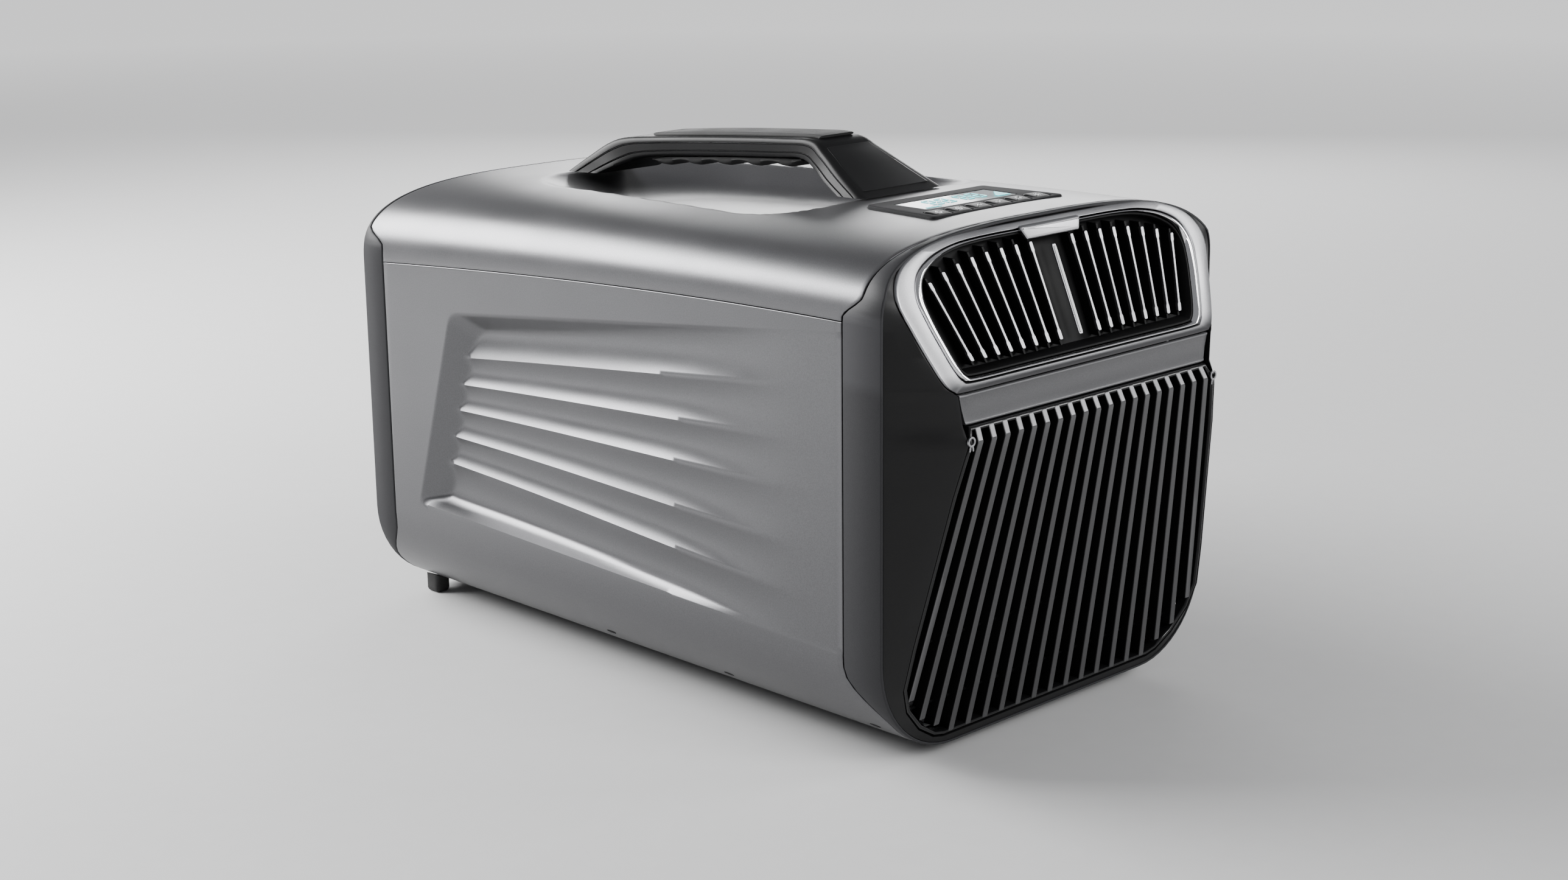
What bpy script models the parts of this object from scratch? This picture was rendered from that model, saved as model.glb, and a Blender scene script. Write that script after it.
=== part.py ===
"""Portable air conditioner: a carry-handle unit with a front outlet, a front intake and rear vents.

Metres, +Z up. The front grille faces -Y, the width runs along X, and the origin is the centre of
the footprint on the floor. Every object is one closed solid, and touching pieces keep a small gap.
"""
import math

import bmesh
import bpy
from mathutils import Matrix, Vector

# ---------------------------------------------------------------- driving dimensions
WIDTH = 0.297                 # over the side panels
LENGTH = 0.518                # from the nose louvres to the rear grilles
FRONT_Y = -0.259              # the nose louvres' most forward line
REAR_Y = FRONT_Y + LENGTH
GAP = 0.0004                  # clearance between touching pieces
WALL = 0.0026                 # moulded wall thickness

FLOOR_CLEARANCE = 0.007       # underside above the floor
EDGE_RADIUS = 0.060           # lower long edges
CROWN_FRONT = 0.3045          # top centreline at the front
CROWN_DROP = 0.0170           # how far the top falls towards the rear
SEAM_FRONT = 0.2600           # split line between side panel and top shell, at the front
SEAM_DROP = 0.0225            # how far the split line falls towards the rear
ARCH_START_Y = -0.190         # the top is level in front of this line
ARCH_POWER = 1.7
SHOULDER_POWER = 3.0          # superellipse exponent of the shoulders

BAND_FRONT_Y = -0.197         # rear edge of the front bezel, on the sides
BAND_FRONT_TOP_Y = -0.211     # the same edge over the top
BAND_FRONT_LOW_Y = -0.221     # the same edge underneath
BEZEL_FRONT_Y = -0.2266       # front edge of the front bezel
BAND_REAR_Y = 0.231           # front edge of the rear bezel, on the sides
BAND_REAR_WRAP_Y = 0.250      # the same edge over the top and underneath
REAR_WRAP_SHIFT = 0.012       # the rear bezel's sweep starts this much lower than the front's
REAR_FACE_Y = 0.254           # the rear bezel's rear edge

OUTLET_SLOPE = 0.4387         # how far the outlet face leans back for each metre up
OUTLET_REF = (-0.2499, 0.2285)   # y and z of a point on the outlet face
INTAKE_SLOPE = 0.180          # how far the intake face leans back for each metre down
NOSE_Z = 0.195                # height of the nose line
BAND_TOP_Z = 0.2218           # centre band
BAND_LOW_Z = 0.2042

POCKET_CENTRE_Y = 0.030       # hand recess under the handle
POCKET_HALF_LENGTH = 0.122
POCKET_HALF_WIDTH = 0.086
POCKET_DEPTH = 0.020
POCKET_BLEND = 0.24           # share of the recess taken by its sloping edge

RECESS_LOW_Z = 0.072          # ribbed recess in each side panel
RECESS_HIGH_Z = 0.214
RECESS_REAR_Y = 0.182
RECESS_LEAN = 0.28            # how far the recess's rear edge leans forward for each metre up
RECESS_DEPTH = 0.0060
RECESS_WALL = 0.012           # width of the recess's sloping edge, above and below

OUTLET_FINS = 8               # fins on each side of the light bar
FIN_HALF = 0.0012             # half a fin's thickness
RING_DEPTH = 0.0050           # outlet rings, front to back
INTAKE_LOUVRES = 19
KEY_COUNT = 6

# ---------------------------------------------------------------- scene and materials
for old in list(bpy.data.objects):
    bpy.data.objects.remove(old, do_unlink=True)

parts = bpy.data.collections.new("portable_air_conditioner")
cutters = bpy.data.collections.new("cutters")
bpy.context.scene.collection.children.link(parts)
bpy.context.scene.collection.children.link(cutters)


def material(name, colour, roughness, metallic=0.0):
    made = bpy.data.materials.new(name)
    made.use_nodes = True
    shader = made.node_tree.nodes["Principled BSDF"]
    shader.inputs["Base Color"].default_value = (*colour, 1.0)
    shader.inputs["Roughness"].default_value = roughness
    shader.inputs["Metallic"].default_value = metallic
    return made


SILVER = material("silver_paint", (0.36, 0.36, 0.38), 0.38, 0.6)
CHARCOAL = material("charcoal_satin", (0.035, 0.035, 0.037), 0.42)
BLACK = material("black_gloss", (0.010, 0.010, 0.011), 0.22)
BAND_GREY = material("band_grey", (0.085, 0.085, 0.088), 0.40, 0.3)
SATIN = material("satin_trim", (0.30, 0.30, 0.31), 0.35, 0.9)
CHROME = material("bright_chrome", (0.75, 0.75, 0.76), 0.12, 1.0)
RUBBER = material("black_rubber", (0.020, 0.020, 0.020), 0.80)
LENS = material("display_lens", (0.30, 0.33, 0.34), 0.15)
LIGHT = material("light_bar", (0.80, 0.80, 0.80), 0.30)
MESH = material("filter_mesh", (0.030, 0.030, 0.032), 0.90)
COIL = material("aluminium_fins", (0.55, 0.57, 0.60), 0.45, 0.8)
COPPER = material("copper_tube", (0.72, 0.36, 0.20), 0.30, 1.0)
STEEL = material("plated_steel", (0.50, 0.50, 0.50), 0.35, 1.0)
ENAMEL = material("compressor_enamel", (0.015, 0.015, 0.016), 0.40)
WHITE = material("white_plastic", (0.70, 0.70, 0.68), 0.50)
BOARD = material("circuit_board", (0.02, 0.14, 0.05), 0.50)
FOAM = material("foam", (0.10, 0.10, 0.11), 0.95)


# ---------------------------------------------------------------- mesh helpers
def add_object(name, mesh, finish, collection=parts):
    made = bpy.data.objects.new(name, mesh)
    collection.objects.link(made)
    if finish is not None:
        mesh.materials.append(finish)
    if collection is cutters:
        made.hide_render = True
        made.display_type = "WIRE"
    return made


def from_bmesh(name, bm, finish, collection=parts):
    bmesh.ops.recalc_face_normals(bm, faces=bm.faces)
    mesh = bpy.data.meshes.new(name)
    bm.to_mesh(mesh)
    bm.free()
    return add_object(name, mesh, finish, collection)


def box(name, low, high, finish, collection=parts):
    """A box between two corners, its origin at its centre."""
    low, high = Vector(low), Vector(high)
    bm = bmesh.new()
    bmesh.ops.create_cube(bm, size=1.0, matrix=Matrix.Diagonal((*(high - low), 1.0)))
    made = from_bmesh(name, bm, finish, collection)
    made.location = (low + high) / 2
    return made


def cylinder(name, centre, axis, radius, depth, finish, collection=parts, sides=32):
    """A cylinder along an axis, its origin at its centre."""
    bm = bmesh.new()
    bmesh.ops.create_cone(bm, cap_ends=True, segments=sides, radius1=radius, radius2=radius, depth=depth)
    made = from_bmesh(name, bm, finish, collection)
    made.location = centre
    made.rotation_mode = "QUATERNION"
    made.rotation_quaternion = Vector(axis).to_track_quat("Z", "Y")
    made.data.shade_smooth()
    made.data.set_sharp_from_angle(angle=math.radians(40))
    return made


def boolean(target, tool, operation="DIFFERENCE"):
    step = target.modifiers.new(operation.lower(), "BOOLEAN")
    step.operation = operation
    step.solver = "EXACT"
    step.object = tool
    return step


def loft(name, loops, finish, closed_path=False, collection=parts):
    """A closed solid through loops of equal length; a closed path joins the last loop to the first."""
    bm = bmesh.new()
    rings = [[bm.verts.new(point) for point in loop] for loop in loops]
    pairs = list(zip(rings, rings[1:]))
    if closed_path:
        pairs.append((rings[-1], rings[0]))
    count = len(rings[0])
    for ring, following in pairs:
        for i in range(count):
            j = (i + 1) % count
            bm.faces.new((ring[i], ring[j], following[j], following[i]))
    if not closed_path:
        bm.faces.new(rings[0])
        bm.faces.new(rings[-1])
    made = from_bmesh(name, bm, finish, collection)
    made.data.shade_smooth()
    made.data.set_sharp_from_angle(angle=math.radians(30))
    return made


def sheet(name, outer, inner, finish, wrap=False):
    """A closed shell between an outer and an inner grid of points, open or wrapped across."""
    rows, columns = len(outer), len(outer[0])
    bm = bmesh.new()
    skins = [[[bm.verts.new(point) for point in row] for row in grid] for grid in (outer, inner)]
    spans = columns if wrap else columns - 1
    for grid in skins:
        for r in range(rows - 1):
            for c in range(spans):
                d = (c + 1) % columns
                bm.faces.new((grid[r][c], grid[r][d], grid[r + 1][d], grid[r + 1][c]))
    top, under = skins
    for r in (0, rows - 1):
        for c in range(spans):
            d = (c + 1) % columns
            bm.faces.new((top[r][c], top[r][d], under[r][d], under[r][c]))
    if not wrap:
        for c in (0, columns - 1):
            for r in range(rows - 1):
                bm.faces.new((top[r][c], top[r + 1][c], under[r + 1][c], under[r][c]))
    made = from_bmesh(name, bm, finish)
    made.data.shade_smooth()
    made.data.set_sharp_from_angle(angle=math.radians(30))
    return made


def prisms(name, outlines, y_low, y_high):
    """A cutter of separate prisms: each outline of x, z points runs from y_low to y_high."""
    bm = bmesh.new()
    for outline in outlines:
        near = [bm.verts.new((x, y_low, z)) for x, z in outline]
        far = [bm.verts.new((x, y_high, z)) for x, z in outline]
        bm.faces.new(near)
        bm.faces.new(far)
        for i in range(len(near)):
            j = (i + 1) % len(near)
            bm.faces.new((near[i], near[j], far[j], far[i]))
    return from_bmesh(name, bm, None, cutters)


def tube(name, points, radius, finish):
    """A round tube through points, with filled ends."""
    curve = bpy.data.curves.new(name, "CURVE")
    curve.dimensions = "3D"
    curve.bevel_depth = radius
    curve.bevel_resolution = 2
    curve.use_fill_caps = True
    spline = curve.splines.new("POLY")
    spline.points.add(len(points) - 1)
    for point, place in zip(spline.points, points):
        point.co = (*place, 1.0)
    made = bpy.data.objects.new(name, curve)
    parts.objects.link(made)
    curve.materials.append(finish)
    return made


# ---------------------------------------------------------------- body form
def smooth(t):
    t = min(max(t, 0.0), 1.0)
    return t * t * (3 - 2 * t)


def spread(low, high, count):
    return [low + (high - low) * i / (count - 1) for i in range(count)]


def arch(y):
    """How far along its fall the top is at y: 0 at the front, 1 at the rear face."""
    t = (y - ARCH_START_Y) / (REAR_Y - ARCH_START_Y)
    return max(t, 0.0) ** ARCH_POWER


def crown_z(y):
    return CROWN_FRONT - CROWN_DROP * arch(y)


def seam_z(y):
    return SEAM_FRONT - SEAM_DROP * arch(y)


def shoulder_point(turn, y, inset):
    """Point on the top's cross-section; turn is 0 at the left seam, pi at the right seam."""
    across, up = math.cos(turn), math.sin(turn)
    half = WIDTH / 2 - inset
    rise = crown_z(y) - inset - seam_z(y)
    power = 2 / SHOULDER_POWER
    x = -math.copysign(abs(across) ** power, across) * half
    return x, seam_z(y) + rise * max(up, 0.0) ** power


def edge_point(turn, inset):
    """Point on the lower long edge, left side; turn is 0 at the side and pi/2 underneath."""
    radius = EDGE_RADIUS - inset
    x = -(WIDTH / 2 - EDGE_RADIUS) - radius * math.cos(turn)
    z = FLOOR_CLEARANCE + EDGE_RADIUS - radius * math.sin(turn)
    return x, z


SHOULDER_TURNS = [math.pi / 2 * t for t in (0, 0.06, 0.14, 0.24, 0.36, 0.5, 0.64, 0.78, 0.9)]
SHOULDER_TURNS = SHOULDER_TURNS + [math.pi / 2] + [math.pi - t for t in reversed(SHOULDER_TURNS)]
EDGE_TURNS = spread(0.0, math.pi / 2, 6)


def body_loop(y, inset):
    """Closed cross-section of the body at y, clockwise from the left seam, seen from the front."""
    loop = [shoulder_point(turn, y, inset) for turn in SHOULDER_TURNS]
    right = [edge_point(turn, inset) for turn in EDGE_TURNS]
    loop += [(-x, z) for x, z in right]
    loop += [edge_point(turn, inset) for turn in reversed(EDGE_TURNS)]
    return loop


def blend_edge(z, side, top, low):
    """Where a bezel's edge lies: its side value, swept to other values at the top and bottom."""
    upper = smooth((z - 0.262) / 0.014)
    lower = smooth((0.060 - z) / 0.036)
    return side + (top - side) * upper + (low - side) * lower


def front_edge(z):
    return blend_edge(z, BAND_FRONT_Y, BAND_FRONT_TOP_Y, BAND_FRONT_LOW_Y)


def rear_edge(z):
    lowered = z + REAR_WRAP_SHIFT * smooth((z - 0.15) / 0.08)
    return blend_edge(lowered, BAND_REAR_Y, BAND_REAR_WRAP_Y, BAND_REAR_WRAP_Y)


def outlet_y(z):
    """The outlet face's y at height z."""
    return OUTLET_REF[0] + OUTLET_SLOPE * (z - OUTLET_REF[1])


def intake_y(z):
    """The intake face's y at height z, with the louvres' short upper facet above the nose line."""
    if z > NOSE_Z:
        return FRONT_Y + 0.5 * (z - NOSE_Z)
    return FRONT_Y + INTAKE_SLOPE * (NOSE_Z - z)


def bezel_front(z):
    return max(BEZEL_FRONT_Y, outlet_y(z) + 0.0015)


# ---------------------------------------------------------------- shells
def pocket_depth(x, y):
    """Depth of the soft hand recess under the handle."""
    u = abs(x) / POCKET_HALF_WIDTH
    v = abs(y - POCKET_CENTRE_Y) / POCKET_HALF_LENGTH
    reach = (u ** 3 + v ** 3) ** (1 / 3)
    return POCKET_DEPTH * smooth((1.0 - reach) / POCKET_BLEND)


def top_shell():
    crown = spread(-0.0960, 0.0960, 15)
    skins = []
    for skin in (0.0, WALL):
        grid = []
        shoulder = [shoulder_point(turn, 0.0, skin)[0] for turn in SHOULDER_TURNS]
        left = [x for x in shoulder if x < 1.05 * crown[0]]
        half = WIDTH / 2 - skin
        for step in spread(0.0, 1.0, 21):
            line = []
            for x in left + crown + [-x for x in reversed(left)]:
                share = abs(x) / half
                lift = max(1 - share ** SHOULDER_POWER, 0.0) ** (1 / SHOULDER_POWER)
                z_front = SEAM_FRONT + (CROWN_FRONT - SEAM_FRONT) * lift
                z_rear = seam_z(BAND_REAR_Y) + (crown_z(BAND_REAR_Y) - seam_z(BAND_REAR_Y)) * lift
                y_front = front_edge(z_front) + GAP
                y_rear = rear_edge(z_rear) - GAP
                y = y_front + (y_rear - y_front) * step
                base = seam_z(y) + GAP / 2
                z = base + (crown_z(y) - skin - base) * lift
                line.append((x, y, z - pocket_depth(x, y)))
            grid.append(line)
        skins.append(grid)
    shell = sheet("top_shell", skins[0], skins[1], SILVER)
    boolean(shell, panel_prism("panel_opening", panel_outline(GAP), 0.285, 0.320, None, cutters))


def recess_depth(y, z):
    """Depth of the side recess; it fades out towards the front."""
    rear = RECESS_REAR_Y - RECESS_LEAN * (z - RECESS_LOW_Z)
    high = RECESS_HIGH_Z + 0.02 * smooth((0.15 - y) / 0.3)
    inside = smooth((rear - y) / 0.020)
    inside *= smooth((z - RECESS_LOW_Z) / RECESS_WALL)
    inside *= smooth((high - z) / RECESS_WALL)
    fade = smooth((y + 0.165) / 0.230)
    return RECESS_DEPTH * inside * fade


def side_panel(name, side):
    levels = [0.072, 0.084, 0.100, 0.118, 0.136, 0.154, 0.172, 0.190, 0.202, 0.214, 0.228]
    outer, inner = [], []
    for skin, grid in ((0.0, outer), (WALL, inner)):
        column = [edge_point(turn, skin) for turn in reversed(EDGE_TURNS)]
        column += [(-(WIDTH / 2 - skin), z) for z in levels] + [(-(WIDTH / 2 - skin), None)]
        for step in spread(0.0, 1.0, 14):
            line = []
            for x, z in column:
                height = 0.25 if z is None else z
                y_front = front_edge(height) + GAP
                y_rear = rear_edge(height) - GAP
                y = y_front + (y_rear - y_front) * step
                if z is None:
                    z = seam_z(y) - GAP / 2
                line.append((side * -(x + recess_depth(y, z)), y, z))
            grid.append(line)
    return sheet(name, outer, inner, SILVER)


def base_pan():
    half = WIDTH / 2 - EDGE_RADIUS - GAP
    low = (-half, BAND_FRONT_LOW_Y + GAP, FLOOR_CLEARANCE)
    return box("base_pan", low, (half, REAR_FACE_Y - 0.0060, FLOOR_CLEARANCE + 0.003), CHARCOAL)


def shoulder_fit(x, z, y, inset):
    """Height on the body's skin at x and y, for points above the seam; others keep their height."""
    if z <= SEAM_FRONT - SEAM_DROP:
        return z
    share = min(abs(x) / (WIDTH / 2 - inset), 1.0)
    lift = (1 - share ** SHOULDER_POWER) ** (1 / SHOULDER_POWER)
    return seam_z(y) + (crown_z(y) - inset - seam_z(y)) * lift


def bezel(name, near_y, far_y):
    """A ring that follows the body's cross-section, between two edges given by height."""
    loops = []
    for inset, edge in ((0.0, near_y), (0.0, far_y), (WALL, far_y), (WALL, near_y)):
        middle_y = edge(SEAM_FRONT - 2 * SEAM_DROP)
        loop = []
        for (x, z), (_, skin_z) in zip(body_loop(middle_y, inset), body_loop(middle_y, 0.0)):
            y = edge(skin_z)
            loop.append((x, y, shoulder_fit(x, z, y, inset)))
        loops.append(loop)
    return loft(name, loops, CHARCOAL, closed_path=True)


# ---------------------------------------------------------------- nose
def mirrored(half_outline):
    """A closed outline from its right half, listed from the top centre to the bottom centre."""
    left = [(-x, z) for x, z in reversed(half_outline) if x > 0]
    return list(half_outline) + left


def rounded(points, steps=2):
    """Points on a smooth curve through a half outline, from its first point to its last."""
    ends = [(-points[1][0], points[1][1])] + list(points) + [(-points[-2][0], points[-2][1])]
    path = []
    for i in range(1, len(ends) - 2):
        p0, p1, p2, p3 = (Vector(ends[i + k]) for k in (-1, 0, 1, 2))
        for s in range(steps):
            t = s / steps
            bend = (2 * p0 - 5 * p1 + 4 * p2 - p3) * t * t + (3 * p1 - p0 - 3 * p2 + p3) * t ** 3
            path.append(tuple((2 * p1 + (p2 - p0) * t + bend) / 2))
    path.append(points[-1])
    return path


RIM_INNER = [(0, 0.2948), (0.040, 0.2947), (0.076, 0.2930), (0.098, 0.2885), (0.112, 0.2810),
             (0.117, 0.2710), (0.1145, 0.2575), (0.1105, 0.2430), (0.106, 0.2330), (0.098, 0.2289),
             (0.060, 0.2287), (0, 0.2287)]
RIM_MIDDLE = [(0, 0.2974), (0.041, 0.2973), (0.079, 0.2960), (0.103, 0.2920), (0.120, 0.2845),
              (0.128, 0.2725), (0.1240, 0.2560), (0.1175, 0.2400), (0.1125, 0.2300), (0.104, 0.2252),
              (0.062, 0.2250), (0, 0.2250)]
RIM_OUTER = [(0, 0.2994), (0.042, 0.2992), (0.081, 0.2979), (0.107, 0.2940), (0.126, 0.2858),
             (0.134, 0.2735), (0.1305, 0.2560), (0.1250, 0.2380), (0.1185, 0.2275), (0.110, 0.2224),
             (0.064, 0.2222), (0, 0.2222)]
INTAKE_OUTLINE = [(0, BAND_LOW_Z - GAP), (0.1080, BAND_LOW_Z - GAP), (0.1120, NOSE_Z),
                  (0.1190, 0.165), (0.1270, 0.117), (0.1335, 0.078), (0.1365, 0.052), (0.1310, 0.037),
                  (0.1180, 0.023), (0.1040, 0.0145), (0.0950, 0.0125), (0, 0.0125)]


def inset_outline(outline, amount):
    """An outline moved inwards by an amount, corner by corner."""
    count = len(outline)
    moved = []
    for i in range(count):
        before, here, after = (Vector(outline[k % count]) for k in (i - 1, i, i + 1))
        first = (here - before).normalized()
        second = (after - here).normalized()
        normal = Vector((first.y + second.y, -(first.x + second.x)))
        normal.normalize()
        square = Vector((first.y, -first.x))
        reach = amount / max(normal.dot(square), 0.5)
        moved.append(tuple(here + normal * reach))
    return moved


def ring_solid(name, outer, inner, front, depth, finish):
    """A ring between two outlines of equal length, its face at front(z), depth thick along Y."""
    loops = []
    for outline, offset in ((outer, 0.0), (outer, depth), (inner, depth), (inner, 0.0)):
        loops.append([(x, front(z) + offset, z) for x, z in outline])
    return loft(name, loops, finish, closed_path=True)


def slab(name, outline, front, depth, finish):
    """A plate with the given outline, its face at front(z), built in strips across the width."""
    half = [point for point in outline if point[0] > 0.001]
    half = sorted(half, key=lambda point: -point[1])
    outer = [[(-x, front(z), z) for x, z in half], [(x, front(z), z) for x, z in half]]
    inner = [[(x, y + depth, z) for x, y, z in row] for row in outer]
    return sheet(name, outer, inner, finish)


def nose_loop():
    """The closed loop round outlet trim, band and intake, with each point's y on its face."""
    upper = rounded(RIM_OUTER)
    cut = next(i for i, (x, z) in enumerate(upper) if z < 0.2300)
    half = upper[:cut] + [(0.1165, BAND_TOP_Z)] + INTAKE_OUTLINE[1:]
    return mirrored(half)


def nose_y(z):
    """The front panel's face where it meets the nose pieces."""
    return outlet_y(z) if z > 0.2100 else intake_y(z)


def inside_body(x, z, inset):
    half = WIDTH / 2 - inset
    if abs(x) > half:
        return False
    if z > SEAM_FRONT:
        lift = (1 - (abs(x) / half) ** SHOULDER_POWER) ** (1 / SHOULDER_POWER)
        return z < SEAM_FRONT + (CROWN_FRONT - inset - SEAM_FRONT) * lift
    corner = FLOOR_CLEARANCE + EDGE_RADIUS
    if z < corner and abs(x) > WIDTH / 2 - EDGE_RADIUS:
        return math.hypot(abs(x) - (WIDTH / 2 - EDGE_RADIUS), corner - z) < EDGE_RADIUS - inset
    return z > FLOOR_CLEARANCE + inset


def body_hit(direction, start, inset):
    """Where a ray from start leaves the body's front cross-section, found by halving."""
    near, far = 0.0, 0.4
    for _ in range(40):
        middle = (near + far) / 2
        x, z = start + direction * middle
        if inside_body(x, z, inset):
            near = middle
        else:
            far = middle
    return tuple(start + direction * near)


def front_panel():
    """The faceted panel between the bezel and the nose pieces."""
    inner = nose_loop()
    outer = []
    for x, z in inner:
        hub_z = 0.170 if z > 0.205 else 0.120
        direction = Vector((x, z - hub_z)).normalized()
        outer.append(body_hit(direction, Vector((0, hub_z)), WALL + 0.0012))
    inner = inset_outline(inner, -GAP)
    rim = [(x, bezel_front(z) + 0.0008, z) for x, z in outer]
    edge = [(x, nose_y(z), z) for x, z in inner]
    behind = [[(x, y + WALL, z) for x, y, z in line] for line in (rim, edge)]
    loft("front_panel", [rim, behind[0], behind[1], edge], BLACK, closed_path=True)


def outlet_grille():
    """A plate with upright slots between fanned fins, and a web for the light bar."""
    outline = inset_outline(mirrored(rounded(RIM_INNER)), GAP)
    loops = []
    for offset in (0.0030, 0.0090):
        loops.append([(x, outlet_y(z) + offset, z) for x, z in outline])
    grille = loft("outlet_grille", loops, BLACK)
    low = [0.0055] + [0.0175 + 0.0110 * i for i in range(OUTLET_FINS)]
    high = [0.0055] + [0.0180 + 0.0129 * i for i in range(OUTLET_FINS)]
    slots = []
    for side in (-1, 1):
        for i in range(OUTLET_FINS):
            x_low = (low[i] + FIN_HALF, low[i + 1] - FIN_HALF)
            x_high = (high[i] + FIN_HALF, high[i + 1] - FIN_HALF)
            top = 0.2890 - 0.0100 * (i / OUTLET_FINS) ** 3
            slot = [(x_low[0], 0.2360), (x_low[1], 0.2360), (x_high[1], top), (x_high[0], top)]
            slots.append([(side * x, z) for x, z in slot])
    boolean(grille, prisms("outlet_slots", slots, -0.270, -0.190))


def light_bar():
    half = 0.0028
    outline = [(-half, 0.2370), (half, 0.2370), (half, 0.2860), (-half, 0.2860)]
    loops = []
    for offset in (0.0004, 0.0026):
        loops.append([(x, outlet_y(z) + offset, z) for x, z in outline])
    loft("outlet_light_bar", loops, LIGHT)


def latch_tab():
    outline = [(-0.0230, 0.2915), (0.0230, 0.2915), (0.0270, 0.2990), (-0.0270, 0.2990)]
    loops = []
    for offset in (-0.0030, -0.0006):
        loops.append([(x, outlet_y(z) + offset, z) for x, z in outline])
    loft("outlet_latch_tab", loops, CHROME)


def centre_band():
    low_half, high_half = 0.1085, 0.1130
    rear = outlet_y(0.2222) + 0.0004
    outline = [(-low_half, BAND_LOW_Z), (low_half, BAND_LOW_Z), (high_half, BAND_TOP_Z - GAP),
               (-high_half, BAND_TOP_Z - GAP)]
    loops = []
    for offset in (0.0, 0.0035):
        loops.append([(x, rear + offset - 0.06 * (BAND_TOP_Z - z), z) for x, z in outline])
    loft("centre_band", loops, BAND_GREY)


def intake_grille():
    grille = slab("intake_grille", inset_outline(mirrored(INTAKE_OUTLINE), GAP), intake_y, 0.0070, BLACK)
    top_pitch, low_pitch, half = 0.01130, 0.01490, 0.0024
    middle = (INTAKE_LOUVRES - 1) / 2
    slots = []
    for i in range(INTAKE_LOUVRES - 1):
        left, right = i - middle, i + 1 - middle
        outer = max(abs(left), abs(right))
        low_z = 0.0180 + 0.030 * max(0.0, (outer - 5.5) / 3.5) ** 2
        share = (0.200 - low_z) / (0.200 - 0.012)
        pitch = top_pitch + (low_pitch - top_pitch) * share
        slots.append([(left * pitch + half, low_z), (right * pitch - half, low_z),
                      (right * top_pitch - half, 0.2000), (left * top_pitch + half, 0.2000)])
    boolean(grille, prisms("intake_slots", slots, -0.280, -0.200))


def filter_y(z):
    return intake_y(z) + 0.0080


def intake_filter():
    slab("intake_filter", inset_outline(mirrored(INTAKE_OUTLINE), 0.0055), filter_y, 0.0040, MESH)


# ---------------------------------------------------------------- control panel
PANEL_FRONT_Y, PANEL_REAR_Y = -0.1830, -0.1230
PANEL_FRONT_HALF, PANEL_REAR_HALF = 0.0585, 0.0520
PANEL_TOP_Z = 0.3050
KEY_SIZE = (0.0150, 0.0130, 0.0034)
KEY_PITCH = 0.0176
KEY_Y = -0.1735
DISPLAY_HALF = (0.0400, 0.0135)
DISPLAY_Y = -0.1480


def panel_outline(grow):
    front_half, rear_half = PANEL_FRONT_HALF + grow, PANEL_REAR_HALF + grow
    front_y, rear_y = PANEL_FRONT_Y - grow, PANEL_REAR_Y + grow
    return [(-front_half, front_y), (front_half, front_y), (rear_half, rear_y), (-rear_half, rear_y)]


def panel_prism(name, outline, z_low, z_high, finish, collection=parts):
    loops = [[(x, y, z) for x, y in outline] for z in (z_low, z_high)]
    return loft(name, loops, finish, collection=collection)


def key_centre(index):
    return (index - (KEY_COUNT - 1) / 2) * KEY_PITCH


def add_block(bm, centre, half):
    """A tall block for a cutter, through the control panel at a centre and half size."""
    scale = Matrix.Diagonal((2 * half[0], 2 * half[1], 0.03, 1.0))
    place = Matrix.Translation((centre[0], centre[1], PANEL_TOP_Z))
    bmesh.ops.create_cube(bm, size=1.0, matrix=place @ scale)


def control_panel():
    outline = panel_outline(0.0)
    panel = panel_prism("control_panel_bezel", outline, PANEL_TOP_Z - 0.0040, PANEL_TOP_Z, CHARCOAL)
    half_x, half_y = KEY_SIZE[0] / 2, KEY_SIZE[1] / 2
    key_top = PANEL_TOP_Z + 0.0010
    openings = bmesh.new()
    for index in range(KEY_COUNT):
        add_block(openings, (key_centre(index), KEY_Y), (half_x + GAP, half_y + GAP))
    add_block(openings, (0.0, DISPLAY_Y), (DISPLAY_HALF[0] + GAP, DISPLAY_HALF[1] + GAP))
    boolean(panel, from_bmesh("panel_cutouts", openings, None, cutters))
    low = (-DISPLAY_HALF[0], DISPLAY_Y - DISPLAY_HALF[1], PANEL_TOP_Z - 0.0030)
    high = (DISPLAY_HALF[0], DISPLAY_Y + DISPLAY_HALF[1], PANEL_TOP_Z - 0.0002)
    box("display_lens", low, high, LENS)
    for index in range(KEY_COUNT):
        x = key_centre(index)
        low = (x - half_x, KEY_Y - half_y, key_top - KEY_SIZE[2])
        high = (x + half_x, KEY_Y + half_y, key_top)
        box("control_button_%d" % (index + 1), low, high, BLACK)
    box("control_board", (-0.050, -0.181, 0.2962), (0.050, -0.128, 0.2978), BOARD)


# ---------------------------------------------------------------- handle
GRIP_START_Y, GRIP_END_Y = -0.034, 0.106
GRIP_WAVES = 5                # finger waves along the grip

# Stations along the handle: outer line y, z; inner line y, z; half width.
HANDLE_STATIONS = [
    ((-0.105, 0.3044), (-0.082, 0.3040), 0.0360), ((-0.084, 0.3152), (-0.066, 0.3100), 0.0310),
    ((-0.062, 0.3272), (-0.051, 0.3165), 0.0250), ((-0.048, 0.3336), (-0.038, 0.3205), 0.0220),
    ((-0.020, 0.3325), (-0.014, 0.3190), 0.0205), ((0.040, 0.3280), (0.040, 0.3148), 0.0200),
    ((0.100, 0.3228), (0.090, 0.3102), 0.0205), ((0.130, 0.3195), (0.112, 0.3070), 0.0215),
    ((0.146, 0.3145), (0.125, 0.3030), 0.0230), ((0.164, 0.3040), (0.137, 0.2985), 0.0260),
    ((0.183, 0.2926), (0.147, 0.2945), 0.0280)]


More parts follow.
